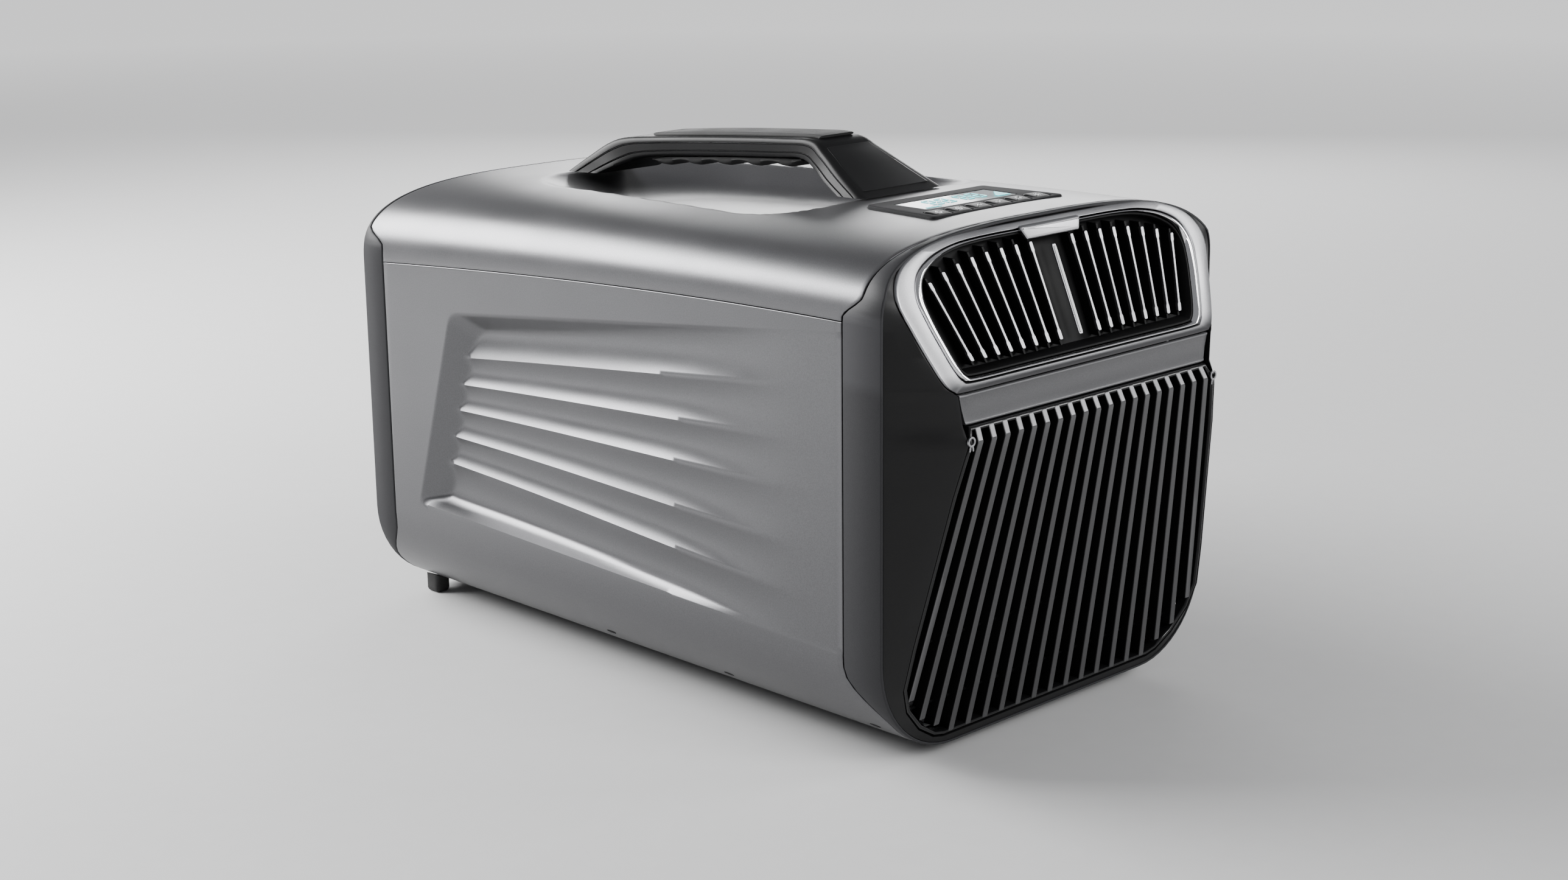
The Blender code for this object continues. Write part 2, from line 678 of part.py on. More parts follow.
def handle_loop(station, chamfer=0.004):
    (y_out, z_out), (y_in, z_in), half = station
    outer, inner = Vector((y_out, z_out)), Vector((y_in, z_in))
    down = (inner - outer).normalized() * chamfer
    loop = []
    for x, spot in ((-half, inner - down), (-half, outer + down), (-half + chamfer, outer),
                    (half - chamfer, outer), (half, outer + down), (half, inner - down),
                    (half - chamfer, inner), (-half + chamfer, inner)):
        loop.append((x, spot.x, spot.y))
    return loop


def handle_under(y):
    """Height of the handle's inner line at y."""
    line = [station[1] for station in HANDLE_STATIONS]
    for (y0, z0), (y1, z1) in zip(line, line[1:]):
        if y0 <= y <= y1:
            return z0 + (z1 - z0) * (y - y0) / (y1 - y0)
    return line[0][1]


def handle():
    loft("handle_body", [handle_loop(station) for station in HANDLE_STATIONS], CHARCOAL)
    pad = []
    for y, z in [station[0] for station in HANDLE_STATIONS[3:7]]:
        section = [(-0.0150, 0.0004), (0.0150, 0.0004), (0.0130, 0.0024), (-0.0130, 0.0024)]
        pad.append([(x, y + 0.002, z + rise) for x, rise in section])
    loft("handle_top_pad", pad, CHARCOAL)
    grip = []
    for y in spread(GRIP_START_Y, GRIP_END_Y, 15):
        top = handle_under(y) - GAP
        turns = (y - GRIP_START_Y) / (GRIP_END_Y - GRIP_START_Y) * GRIP_WAVES
        low = top - 0.0045 - 0.0010 * math.cos(2 * math.pi * turns)
        grip.append([(-0.0165, y, top), (0.0165, y, top), (0.0140, y, low), (-0.0140, y, low)])
    loft("handle_grip", grip, RUBBER)


# ---------------------------------------------------------------- rear
EXHAUST_Z = (0.140, 0.252)
INTAKE_REAR_Z = (0.062, 0.128)
REAR_VENT_HALF = 0.104
PORT_Z = (0.020, 0.050)
PORT_HALF = 0.062


def upright(centre, half, low, high):
    """An upright rectangle in x and z."""
    return [(centre - half, low), (centre + half, low), (centre + half, high), (centre - half, high)]


def rear_panel():
    """The plate inside the rear bezel, with openings for both vents and the port bay."""
    reach = WALL + GAP
    y_front, y_back = REAR_FACE_Y - 0.0050, REAR_FACE_Y - 0.0010
    loops = []
    for y in (y_front, y_back):
        outline = body_loop(REAR_FACE_Y, reach)
        loops.append([(x, y, shoulder_fit(x, z, REAR_FACE_Y, reach)) for x, z in outline])
    panel = loft("rear_panel", loops, CHARCOAL)
    vents = [(EXHAUST_Z, REAR_VENT_HALF), (INTAKE_REAR_Z, REAR_VENT_HALF), (PORT_Z, PORT_HALF)]
    openings = [upright(0.0, half + GAP, low - GAP, high + GAP) for (low, high), half in vents]
    boolean(panel, prisms("rear_openings", openings, 0.235, 0.265))


def rear_grille(name, heights, rows, cutter_name):
    """A framed grille of level slots in two columns."""
    low, high = heights
    grille = box(name, (-REAR_VENT_HALF, REAR_FACE_Y - 0.0060, low), (REAR_VENT_HALF, REAR_Y, high), BLACK)
    margin = 0.005
    pitch = (high - low - 2 * margin) / rows
    half_slot = 0.30 * pitch
    slots = []
    for row in range(rows):
        z = low + margin + pitch * (row + 0.5)
        for centre in (-0.050, 0.050):
            slots.append(upright(centre, 0.0470, z - half_slot, z + half_slot))
    boolean(grille, prisms(cutter_name, slots, 0.235, 0.275))


def port_bay():
    box("port_cover", (-PORT_HALF, REAR_FACE_Y - 0.0045, PORT_Z[0]),
        (PORT_HALF, REAR_FACE_Y - 0.0015, PORT_Z[1]), RUBBER)
    inlet = box("power_inlet", (-0.048, 0.2180, 0.0240), (-0.018, 0.2480, 0.0460), CHARCOAL)
    hollow = box("inlet_hollow", (-0.0445, 0.2300, 0.0275), (-0.0215, 0.2600, 0.0425), None, cutters)
    boolean(inlet, hollow)


def rear_screws():
    spots = [(-0.1250, 0.2450), (0.1250, 0.2450), (-0.1150, 0.0600), (0.1150, 0.0600)]
    for index, (x, z) in enumerate(spots):
        place = (x, REAR_FACE_Y + GAP, z)
        cylinder("rear_screw_%d" % (index + 1), place, (0, 1, 0), 0.0034, 0.0020, STEEL, sides=16)


# ---------------------------------------------------------------- feet and drain
FRONT_FOOT = (0.0780, -0.1850)      # x and y of the right one of each pair
REAR_FOOT = (0.1120, 0.2360)
REAR_FOOT_HALF = 0.0060


def under_edge_z(x):
    """Height of the rounded lower long edge above x."""
    reach = x - (WIDTH / 2 - EDGE_RADIUS)
    return FLOOR_CLEARANCE + EDGE_RADIUS - math.sqrt(EDGE_RADIUS ** 2 - reach ** 2)


def feet():
    for end, side in (("left", -1), ("right", 1)):
        x, y = side * FRONT_FOOT[0], FRONT_FOOT[1]
        low, high = (x - 0.0070, y - 0.0070, 0.0), (x + 0.0070, y + 0.0070, FLOOR_CLEARANCE - GAP)
        box("foot_front_" + end, low, high, RUBBER)
        inner, outer = REAR_FOOT[0] - REAR_FOOT_HALF, REAR_FOOT[0] + REAR_FOOT_HALF
        outline = [(inner, 0.0), (outer, 0.0), (outer, under_edge_z(outer) - 0.0016),
                   (inner, under_edge_z(inner) - 0.0008)]
        ends = (REAR_FOOT[1] - 0.0065, REAR_FOOT[1] + 0.0065)
        loft("foot_rear_" + end, [[(side * x, y, z) for x, z in outline] for y in ends], RUBBER)


def drain_plug():
    cylinder("drain_plug", (0.0, 0.100, 0.0043), (0, 0, 1), 0.0090, 0.0042, RUBBER, sides=24)


# ---------------------------------------------------------------- fans
def fan_wheel(name, centre, radius, width, blades):
    """A blower wheel: a back disc with a hub, straight blades and a front ring, bored for its shaft."""
    x, y, z = centre
    along = (0, 1, 0)
    disc = cylinder(name, (x, y + width / 2 - 0.0015, z), along, radius, 0.0030, BLACK)
    hub = cylinder(name + "_hub", (x, y + width / 4, z), along, 0.0120, width / 2, None, cutters, sides=20)
    boolean(disc, hub, "UNION")
    vanes = bmesh.new()
    place = Matrix.Translation((radius - 0.0080, 0.0, 0.0))
    lean = Matrix.Rotation(math.radians(35), 4, "Y")
    scale = Matrix.Diagonal((0.0100, width - 0.0030, 0.0016, 1.0))
    for index in range(blades):
        turn = Matrix.Rotation(2 * math.pi * index / blades, 4, "Y")
        bmesh.ops.create_cube(vanes, size=1.0, matrix=turn @ place @ lean @ scale)
    vane_tool = from_bmesh(name + "_vanes", vanes, None, cutters)
    vane_tool.location = centre
    boolean(disc, vane_tool, "UNION")
    ring = cylinder(name + "_ring", (x, y - width / 2 + 0.0015, z), along, radius, 0.0030, None, cutters)
    mouth = (x, y - width / 2, z)
    boolean(ring, cylinder(name + "_mouth", mouth, along, radius - 0.0100, 0.0100, None, cutters))
    boolean(disc, ring, "UNION")
    boolean(disc, cylinder(name + "_bore", (x, y, z), along, 0.0043, width * 2, None, cutters, sides=20))


def motor(name, centre, facing, radius, depth, shaft_reach):
    """A fan motor whose shaft points along facing Y."""
    x, y, z = centre
    body = cylinder(name, centre, (0, 1, 0), radius, depth, STEEL, sides=28)
    length = shaft_reach + depth / 2
    middle = (x, y + facing * length / 2, z)
    shaft = cylinder(name + "_shaft", middle, (0, 1, 0), 0.0040, length, None, cutters, sides=20)
    boolean(body, shaft, "UNION")


# ---------------------------------------------------------------- cold side
def evaporator_side():
    box("evaporator_coil", (-0.105, -0.2040, 0.0300), (0.105, -0.1780, 0.1900), COIL)
    tray = box("condensate_tray", (-0.095, -0.2100, 0.0130), (0.095, -0.1700, 0.0265), WHITE)
    boolean(tray, box("tray_hollow", (-0.092, -0.2070, 0.0160), (0.092, -0.1730, 0.0400), None, cutters))
    hood = box("outlet_duct", (-0.0980, -0.2000, 0.2080), (0.0980, -0.1150, 0.2860), WHITE)
    boolean(hood, box("hood_hollow", (-0.0950, -0.2200, 0.2110), (0.0950, -0.1180, 0.2830), None, cutters))
    boolean(hood, box("hood_throat", (-0.0600, -0.1620, 0.2000), (0.0000, -0.1220, 0.2200), None, cutters))
    scroll = cylinder("evaporator_scroll", (0.0, -0.1400, 0.1150), (0, 1, 0), 0.0840, 0.0540, WHITE)
    throat = box("scroll_throat", (-0.0700, -0.1650, 0.1150), (0.0060, -0.1190, 0.2060), None, cutters)
    boolean(scroll, throat, "UNION")
    bore = cylinder("scroll_bore", (0.0, -0.1420, 0.1150), (0, 1, 0), 0.0680, 0.0540, None, cutters)
    boolean(scroll, bore)
    flow = box("throat_bore", (-0.0590, -0.1620, 0.1300), (-0.0050, -0.1220, 0.2200), None, cutters)
    boolean(scroll, flow)
    spot = (0.0, -0.1150, 0.1150)
    boolean(scroll, cylinder("scroll_shaft_hole", spot, (0, 1, 0), 0.0120, 0.0200, None, cutters))
    fan_wheel("evaporator_fan_wheel", (0.0, -0.1420, 0.1150), 0.0600, 0.0400, 9)
    motor("evaporator_fan_motor", (0.0, -0.0950, 0.1150), -1, 0.0280, 0.0300, 0.0540)


def divider_wall():
    """The insulated wall between the cold and the hot side, cut for the pipes."""
    outline = mirrored([(0.0, 0.2700), (0.1100, 0.2700), (0.1380, 0.2500), (0.1300, 0.0700),
                        (0.1000, 0.0200), (0.0, 0.0200)])
    wall = loft("divider_wall", [[(x, y, z) for x, z in outline] for y in (-0.0760, -0.0680)], FOAM)
    boolean(wall, box("pipe_pass", (0.0880, -0.0900, 0.0420), (0.1500, -0.0500, 0.0660), None, cutters))


# ---------------------------------------------------------------- hot side
COMPRESSOR = (-0.0400, 0.0050)
ACCUMULATOR_X = 0.0340


def condenser_side():
    x, y = COMPRESSOR
    body = cylinder("compressor", (x, y, 0.1100), (0, 0, 1), 0.0500, 0.1500, ENAMEL)
    flange = cylinder("compressor_flange", (x, y, 0.0310), (0, 0, 1), 0.0540, 0.0100, None, cutters)
    boolean(body, flange, "UNION")
    pad = cylinder("compressor_mount", (x, y, 0.0180), (0, 0, 1), 0.0460, 0.0150, RUBBER)
    boolean(pad, cylinder("pad_hole", (x, y, 0.0180), (0, 0, 1), 0.0340, 0.0400, None, cutters))
    cylinder("accumulator", (ACCUMULATOR_X, y, 0.1200), (0, 0, 1), 0.0190, 0.1100, ENAMEL, sides=24)
    box("condenser_coil", (-0.1000, 0.1950, 0.0560), (0.1000, 0.2220, 0.1160), COIL)
    fan_z = 0.1960
    along = (0, 1, 0)
    shroud = cylinder("condenser_fan_shroud", (0.0, 0.2050, fan_z), along, 0.0740, 0.0440, CHARCOAL)
    boolean(shroud, cylinder("shroud_bore", (0.0, 0.2130, fan_z), along, 0.0690, 0.0530, None, cutters))
    vents = []
    for index in range(6):
        low, high = math.radians(60 * index + 6), math.radians(60 * index + 54)
        corners = [(0.0300, low)] + [(0.0620, turn) for turn in spread(low, high, 4)] + [(0.0300, high)]
        vents.append([(reach * math.cos(turn), fan_z + reach * math.sin(turn)) for reach, turn in corners])
    boolean(shroud, prisms("shroud_vents", vents, 0.1750, 0.1900))
    boolean(shroud, cylinder("shroud_hole", (0.0, 0.1850, fan_z), along, 0.0080, 0.0300, None, cutters))
    fan_wheel("condenser_fan_wheel", (0.0, 0.2080, fan_z), 0.0620, 0.0300, 9)
    motor("condenser_fan_motor", (0.0, 0.1640, fan_z), 1, 0.0260, 0.0360, 0.0560)
    box("inverter_board", (0.1180, 0.0200, 0.0900), (0.1200, 0.1500, 0.2100), BOARD)
    sink = box("inverter_heatsink", (0.0950, 0.0400, 0.1100), (0.1176, 0.1300, 0.1900), COIL)
    fins = bmesh.new()
    for index in range(7):
        place = Matrix.Translation((0.1010, 0.0500 + 0.0117 * index, 0.1500))
        bmesh.ops.create_cube(fins, size=1.0, matrix=place @ Matrix.Diagonal((0.0220, 0.0070, 0.1000, 1.0)))
    boolean(sink, from_bmesh("heatsink_gaps", fins, None, cutters))


def refrigerant_pipes():
    x, y = COMPRESSOR
    suction = [(0.1056, -0.1900, 0.0600), (0.1130, -0.1900, 0.0600), (0.1180, -0.1800, 0.0560),
               (0.1180, -0.0400, 0.0540), (0.1150, -0.0250, 0.0700), (0.0900, -0.0150, 0.1500),
               (0.0600, -0.0050, 0.2000), (ACCUMULATOR_X + 0.008, y, 0.2030),
               (ACCUMULATOR_X, y, 0.1950), (ACCUMULATOR_X, y, 0.1756)]
    discharge = [(x, y, 0.1856), (x, y, 0.2050), (x - 0.0060, y + 0.0080, 0.2130),
                 (-0.1000, 0.0500, 0.2150), (-0.1100, 0.1000, 0.2050), (-0.1120, 0.1700, 0.1400),
                 (-0.1120, 0.2000, 0.1000), (-0.1090, 0.2080, 0.0900), (-0.1006, 0.2080, 0.0900)]
    liquid = [(0.1006, 0.2080, 0.0700), (0.1070, 0.2080, 0.0700), (0.1100, 0.1980, 0.0660),
              (0.1060, 0.1000, 0.0560), (0.1020, -0.0200, 0.0520), (0.1010, -0.1500, 0.0520),
              (0.1000, -0.1680, 0.0520), (0.1000, -0.1776, 0.0520)]
    tube("suction_pipe", suction, 0.0045, COPPER)
    tube("discharge_pipe", discharge, 0.0035, COPPER)
    tube("liquid_line", liquid, 0.0025, COPPER)


# ---------------------------------------------------------------- assembly
def bezel_rear(z):
    return front_edge(z) - GAP


def rear_bezel_front(z):
    return rear_edge(z) + GAP


def rear_face(_):
    return REAR_FACE_Y


def outlet_rings():
    """The wide satin ring round the outlet, and the thin bright ring inside it."""
    inner, middle, outer = (mirrored(rounded(rim)) for rim in (RIM_INNER, RIM_MIDDLE, RIM_OUTER))
    half_gap = GAP / 2
    ring_solid("outlet_trim_ring", inset_outline(outer, half_gap), inset_outline(middle, -half_gap),
               outlet_y, RING_DEPTH, SATIN)
    ring_solid("outlet_chrome_ring", inset_outline(middle, half_gap), inner, outlet_y, RING_DEPTH, CHROME)


def build():
    top_shell()
    side_panel("left_side_panel", -1)
    side_panel("right_side_panel", 1)
    base_pan()
    bezel("front_bezel", bezel_front, bezel_rear)
    bezel("rear_bezel", rear_bezel_front, rear_face)
    front_panel()
    centre_band()
    outlet_rings()
    outlet_grille()
    light_bar()
    latch_tab()
    intake_grille()
    intake_filter()
    control_panel()
    handle()
    rear_panel()
    rear_grille("rear_exhaust_grille", EXHAUST_Z, 9, "exhaust_slots")
    rear_grille("rear_intake_grille", INTAKE_REAR_Z, 6, "rear_intake_slots")
    port_bay()
    rear_screws()
    feet()
    drain_plug()
    evaporator_side()
    divider_wall()
    condenser_side()
    refrigerant_pipes()


build()
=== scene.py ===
"""Looks for the portable air conditioner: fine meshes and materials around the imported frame.

Metres, +Z up, the nose faces -Y and the width runs along X. Every fine piece is built in place and
rides the body of the part it stands for.
"""
import math

import bmesh
import bpy
from mathutils import Matrix, Vector


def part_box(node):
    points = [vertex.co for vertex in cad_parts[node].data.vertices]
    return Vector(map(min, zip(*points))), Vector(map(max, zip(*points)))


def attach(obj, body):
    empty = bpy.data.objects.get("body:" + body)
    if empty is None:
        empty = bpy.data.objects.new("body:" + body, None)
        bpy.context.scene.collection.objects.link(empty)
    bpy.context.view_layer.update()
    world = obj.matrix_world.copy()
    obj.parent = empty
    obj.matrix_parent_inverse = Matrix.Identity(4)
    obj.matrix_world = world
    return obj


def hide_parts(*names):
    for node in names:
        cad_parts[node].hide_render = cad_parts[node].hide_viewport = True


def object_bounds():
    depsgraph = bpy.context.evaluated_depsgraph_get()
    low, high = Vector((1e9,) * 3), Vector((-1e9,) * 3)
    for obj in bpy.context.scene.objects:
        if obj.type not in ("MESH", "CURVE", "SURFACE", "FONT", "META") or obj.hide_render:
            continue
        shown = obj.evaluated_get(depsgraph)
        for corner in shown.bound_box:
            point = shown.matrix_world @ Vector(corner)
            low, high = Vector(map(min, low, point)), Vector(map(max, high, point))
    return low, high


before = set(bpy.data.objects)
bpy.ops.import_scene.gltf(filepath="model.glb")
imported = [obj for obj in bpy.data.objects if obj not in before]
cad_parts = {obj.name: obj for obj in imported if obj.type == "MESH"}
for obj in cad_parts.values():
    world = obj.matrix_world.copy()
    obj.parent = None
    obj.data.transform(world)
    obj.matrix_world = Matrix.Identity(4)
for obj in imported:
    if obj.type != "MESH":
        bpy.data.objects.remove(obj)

cad_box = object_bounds()
LOW, HIGH = cad_box

# ---------------------------------------------------------------- body form
HALF = HIGH.x                       # half width over the side panels
NOSE_Y = LOW.y                      # the nose louvres' most forward line
REAR_Y = HIGH.y
GAP = 0.0004                        # clearance between neighbouring mouldings
WALL = 0.0026

FLOOR_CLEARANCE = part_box("base_pan")[0].z
EDGE_RADIUS = 0.06                 # lower long edges
CORNER_Z = FLOOR_CLEARANCE + EDGE_RADIUS
CROWN_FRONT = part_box("top_shell")[1].z
CROWN_DROP = 0.017                 # how far the top falls towards the rear
SEAM_FRONT = 0.26                 # split line between side panel and top shell
SEAM_DROP = 0.0225
ARCH_START_Y = -0.19               # the top is level in front of this line
ARCH_POWER = 1.7
SHOULDER_POWER = 3.0                # superellipse exponent of the shoulders

BEZEL_FRONT_Y = -0.2266
REAR_FACE_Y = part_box("rear_bezel")[1].y
OUTLET_SLOPE = 0.4387               # how far the outlet face leans back for each metre up
OUTLET_REF = (-0.2499, 0.2285)
INTAKE_SLOPE = 0.18                # how far the intake face leans back for each metre down
NOSE_Z = 0.195
BAND_TOP_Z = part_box("centre_band")[1].z
BAND_LOW_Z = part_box("centre_band")[0].z


def clamp(t):
    return min(max(t, 0.0), 1.0)


def smooth(t):
    t = clamp(t)
    return t * t * (3 - 2 * t)


def mix(a, b, t):
    return a + (b - a) * t


def spread(low, high, count):
    return [mix(low, high, i / (count - 1)) for i in range(count)]


def soft_min(a, b, reach):
    """The smaller of two values, rounded where they are within reach of each other."""
    near = max(reach - abs(a - b), 0.0) / reach
    return min(a, b) - near * near * reach / 4


def arch(y):
    t = (y - ARCH_START_Y) / (REAR_Y - ARCH_START_Y)
    return max(t, 0.0) ** ARCH_POWER


def crown_z(y):
    return CROWN_FRONT - CROWN_DROP * arch(y)


def seam_z(y):
    return SEAM_FRONT - SEAM_DROP * arch(y)


def lift(share):
    """Height of the shoulder curve, 0 to 1, at a share of the half width."""
    return max(1 - abs(share) ** SHOULDER_POWER, 0.0) ** (1 / SHOULDER_POWER)


def top_z(x, y, inset=0.0):
    share = min(abs(x) / (HALF - inset), 1.0)
    return mix(seam_z(y), crown_z(y) - inset, lift(share))


def blend_edge(z, side, top, low):
    """Where a bezel's edge lies: its side value, swept to other values at the top and bottom."""
    upper = smooth((z - 0.262) / 0.014)
    lower = smooth((0.06 - z) / 0.036)
    return side + (top - side) * upper + (low - side) * lower


def front_edge(z):
    return blend_edge(z, -0.197, -0.211, -0.221)


def rear_edge(z):
    return blend_edge(z + 0.012 * smooth((z - 0.15) / 0.08), 0.231, 0.25, 0.25)


def outlet_y(z):
    return OUTLET_REF[0] + OUTLET_SLOPE * (z - OUTLET_REF[1])


def intake_y(z):
    """The intake face, with the louvres' short upper facet above the nose line."""
    if z > NOSE_Z:
        return NOSE_Y + 0.5 * (z - NOSE_Z)
    return NOSE_Y + INTAKE_SLOPE * (NOSE_Z - z)


def bezel_front(z):
    return max(BEZEL_FRONT_Y, outlet_y(z) + 0.0015)


def even(points, count):
    """Points spaced evenly by length along a path."""
    points = [Vector(p) for p in points]
    reach = [0.0]
    for a, b in zip(points, points[1:]):
        reach.append(reach[-1] + (b - a).length)
    spaced, k = [], 0
    for goal in spread(0.0, reach[-1], count):
        while k < len(points) - 2 and reach[k + 1] < goal:
            k += 1
        spaced.append(points[k].lerp(points[k + 1],
            clamp((goal - reach[k]) / (reach[k + 1] - reach[k]))))
    return spaced


def shoulder_shares(count):
    """Shares of the half width, -1 to 1, evenly spaced along the shoulder curve."""
    turns = spread(0.0, math.pi, 721)
    path = []
    for turn in turns:
        share = -math.copysign(abs(math.cos(turn)) ** (2 / SHOULDER_POWER), math.cos(turn))
        path.append((share * HALF, SEAM_FRONT + (CROWN_FRONT - SEAM_FRONT) * lift(share)))
    return [point.x / HALF for point in even(path, count)]


# ---------------------------------------------------------------- materials
WAVE_UNIT = 0.05 * math.tau         # a wave texture's period is this over its scale
RIB_RELIEF = 0.0005
COAT_ROUGHNESS = 0.12


def nodes_for(name):
    made = bpy.data.materials.new(name)
    made.use_nodes = True
    tree = made.node_tree
    shader = tree.nodes["Principled BSDF"]
    place = tree.nodes.new("ShaderNodeTexCoord").outputs["Object"]
    return made, tree, shader, place


def stretched(tree, place, stretch):
    mapping = tree.nodes.new("ShaderNodeMapping")
    mapping.inputs["Scale"].default_value = stretch
    tree.links.new(place, mapping.inputs["Vector"])
    return mapping.outputs["Vector"]


def noise(tree, place, scale, detail=3.0):
    texture = tree.nodes.new("ShaderNodeTexNoise")
    texture.inputs["Scale"].default_value = scale
    texture.inputs["Detail"].default_value = detail
    tree.links.new(place, texture.inputs["Vector"])
    return texture.outputs["Fac"]


def ranged(tree, value, low, high, start=0.3, end=0.7):
    node = tree.nodes.new("ShaderNodeMapRange")
    node.inputs["From Min"].default_value = start
    node.inputs["From Max"].default_value = end
    node.inputs["To Min"].default_value = low
    node.inputs["To Max"].default_value = high
    tree.links.new(value, node.inputs["Value"])
    return node.outputs["Result"]


def tinted(tree, value, first, second):
    """Mixes two colours, each given as numbers or as another node's output."""
    node = tree.nodes.new("ShaderNodeMix")
    node.data_type = "RGBA"
    tree.links.new(value, node.inputs["Factor"])
    for key, colour in (("A", first), ("B", second)):
        if isinstance(colour, tuple):
            node.inputs[key].default_value = (*colour, 1.0)
        else:
            tree.links.new(colour, node.inputs[key])
    return node.outputs["Result"]


def relief(tree, shader, height, strength, distance):
    bump = tree.nodes.new("ShaderNodeBump")
    bump.inputs["Strength"].default_value = strength
    bump.inputs["Distance"].default_value = distance
    tree.links.new(height, bump.inputs["Height"])
    tree.links.new(bump.outputs["Normal"], shader.inputs["Normal"])


def shaded(colour, amount):
    return tuple(clamp(channel * (1 + amount)) for channel in colour)


def finish(name, colour, roughness, metallic=0.0, speck=0.05, speck_scale=1800.0, smudge=0.05,
        smudge_scale=18.0, grain=0.1, grain_scale=1500.0, depth=0.0001, edge_sheen=0.0, stretch=None,
        coat=0.0, gloss_level=0.5):
    """A moulded, painted or plated surface: specks in its colour, smudges in its gloss, a fine
    grain in its relief, and edges lightened by their pointiness as a painted highlight."""
    made, tree, shader, place = nodes_for(name)
    fine_place = stretched(tree, place, stretch) if stretch else place
    colour_out = tinted(tree, ranged(tree, noise(tree, fine_place, speck_scale), 0.0, 1.0),
        shaded(colour, -speck), shaded(colour, speck))
    # Sharp edges are coloured lighter: a painted edge highlight.
    if edge_sheen:
        geometry = tree.nodes.new("ShaderNodeNewGeometry")
        edge_sheen_mask = ranged(tree, geometry.outputs["Pointiness"], 0.0, edge_sheen, 0.52, 0.62)
        colour_out = tinted(tree, edge_sheen_mask, colour_out, shaded(colour, 1.2))
    tree.links.new(colour_out, shader.inputs["Base Color"])
    gloss = ranged(tree, noise(tree, place, smudge_scale, 5.0), roughness - smudge,
        roughness + smudge)
    tree.links.new(gloss, shader.inputs["Roughness"])
    relief(tree, shader, noise(tree, fine_place, grain_scale, 4.0), grain, depth)
    shader.inputs["Metallic"].default_value = metallic
    shader.inputs["Specular IOR Level"].default_value = gloss_level
    shader.inputs["Coat Weight"].default_value = coat
    shader.inputs["Coat Roughness"].default_value = COAT_ROUGHNESS
    return made


def ribbed(name, colour, dark, roughness, metallic, pitch, direction, strength=0.6, second=None):
    """A surface with fine parallel ribs, or a weave where a second direction crosses them; its
    valleys are coloured darker as painted shade.
    """
    made, tree, shader, place = nodes_for(name)
    heights = []
    for axis in [direction] + ([second] if second else []):
        wave = tree.nodes.new("ShaderNodeTexWave")
        wave.bands_direction = axis
        wave.inputs["Scale"].default_value = WAVE_UNIT / pitch
        wave.inputs["Distortion"].default_value = 0.15
        tree.links.new(place, wave.inputs["Vector"])
        heights.append(wave.outputs["Fac"])
    height = heights[0]
    if second:
        crossed = tree.nodes.new("ShaderNodeMath")
        crossed.operation = "MAXIMUM"
        for value, socket in zip(heights, crossed.inputs):
            tree.links.new(value, socket)
        height = crossed.outputs["Value"]
    # The colour follows the relief: valleys darker, as painted shade between the ribs.
    tree.links.new(tinted(tree, height, dark, colour), shader.inputs["Base Color"])
    gloss = ranged(tree, noise(tree, place, 60.0), roughness - 0.08, roughness + 0.08)
    tree.links.new(gloss, shader.inputs["Roughness"])
    relief(tree, shader, height, strength, RIB_RELIEF)
    shader.inputs["Metallic"].default_value = metallic
    return made


def glowing(name, colour, strength, roughness):
    made = finish(name, colour, roughness, speck=0.02, smudge=0.02, grain=0.04)
    shader = made.node_tree.nodes["Principled BSDF"]
    shader.inputs["Emission Color"].default_value = (*colour, 1.0)
    shader.inputs["Emission Strength"].default_value = strength
    return made


def painted_shade_below(made, colour, low, high):
    """Darkens a finish towards another colour as painted shade: its own above the height high, the
    other below low.
    """
    tree = made.node_tree
    socket = tree.nodes["Principled BSDF"].inputs["Base Color"]
    height = tree.nodes.new("ShaderNodeSeparateXYZ")
    tree.links.new(tree.nodes["Texture Coordinate"].outputs["Object"], height.inputs["Vector"])
    share = ranged(tree, height.outputs["Z"], 0.0, 1.0, low, high)
    tree.links.new(tinted(tree, share, colour, socket.links[0].from_socket), socket)
    return made


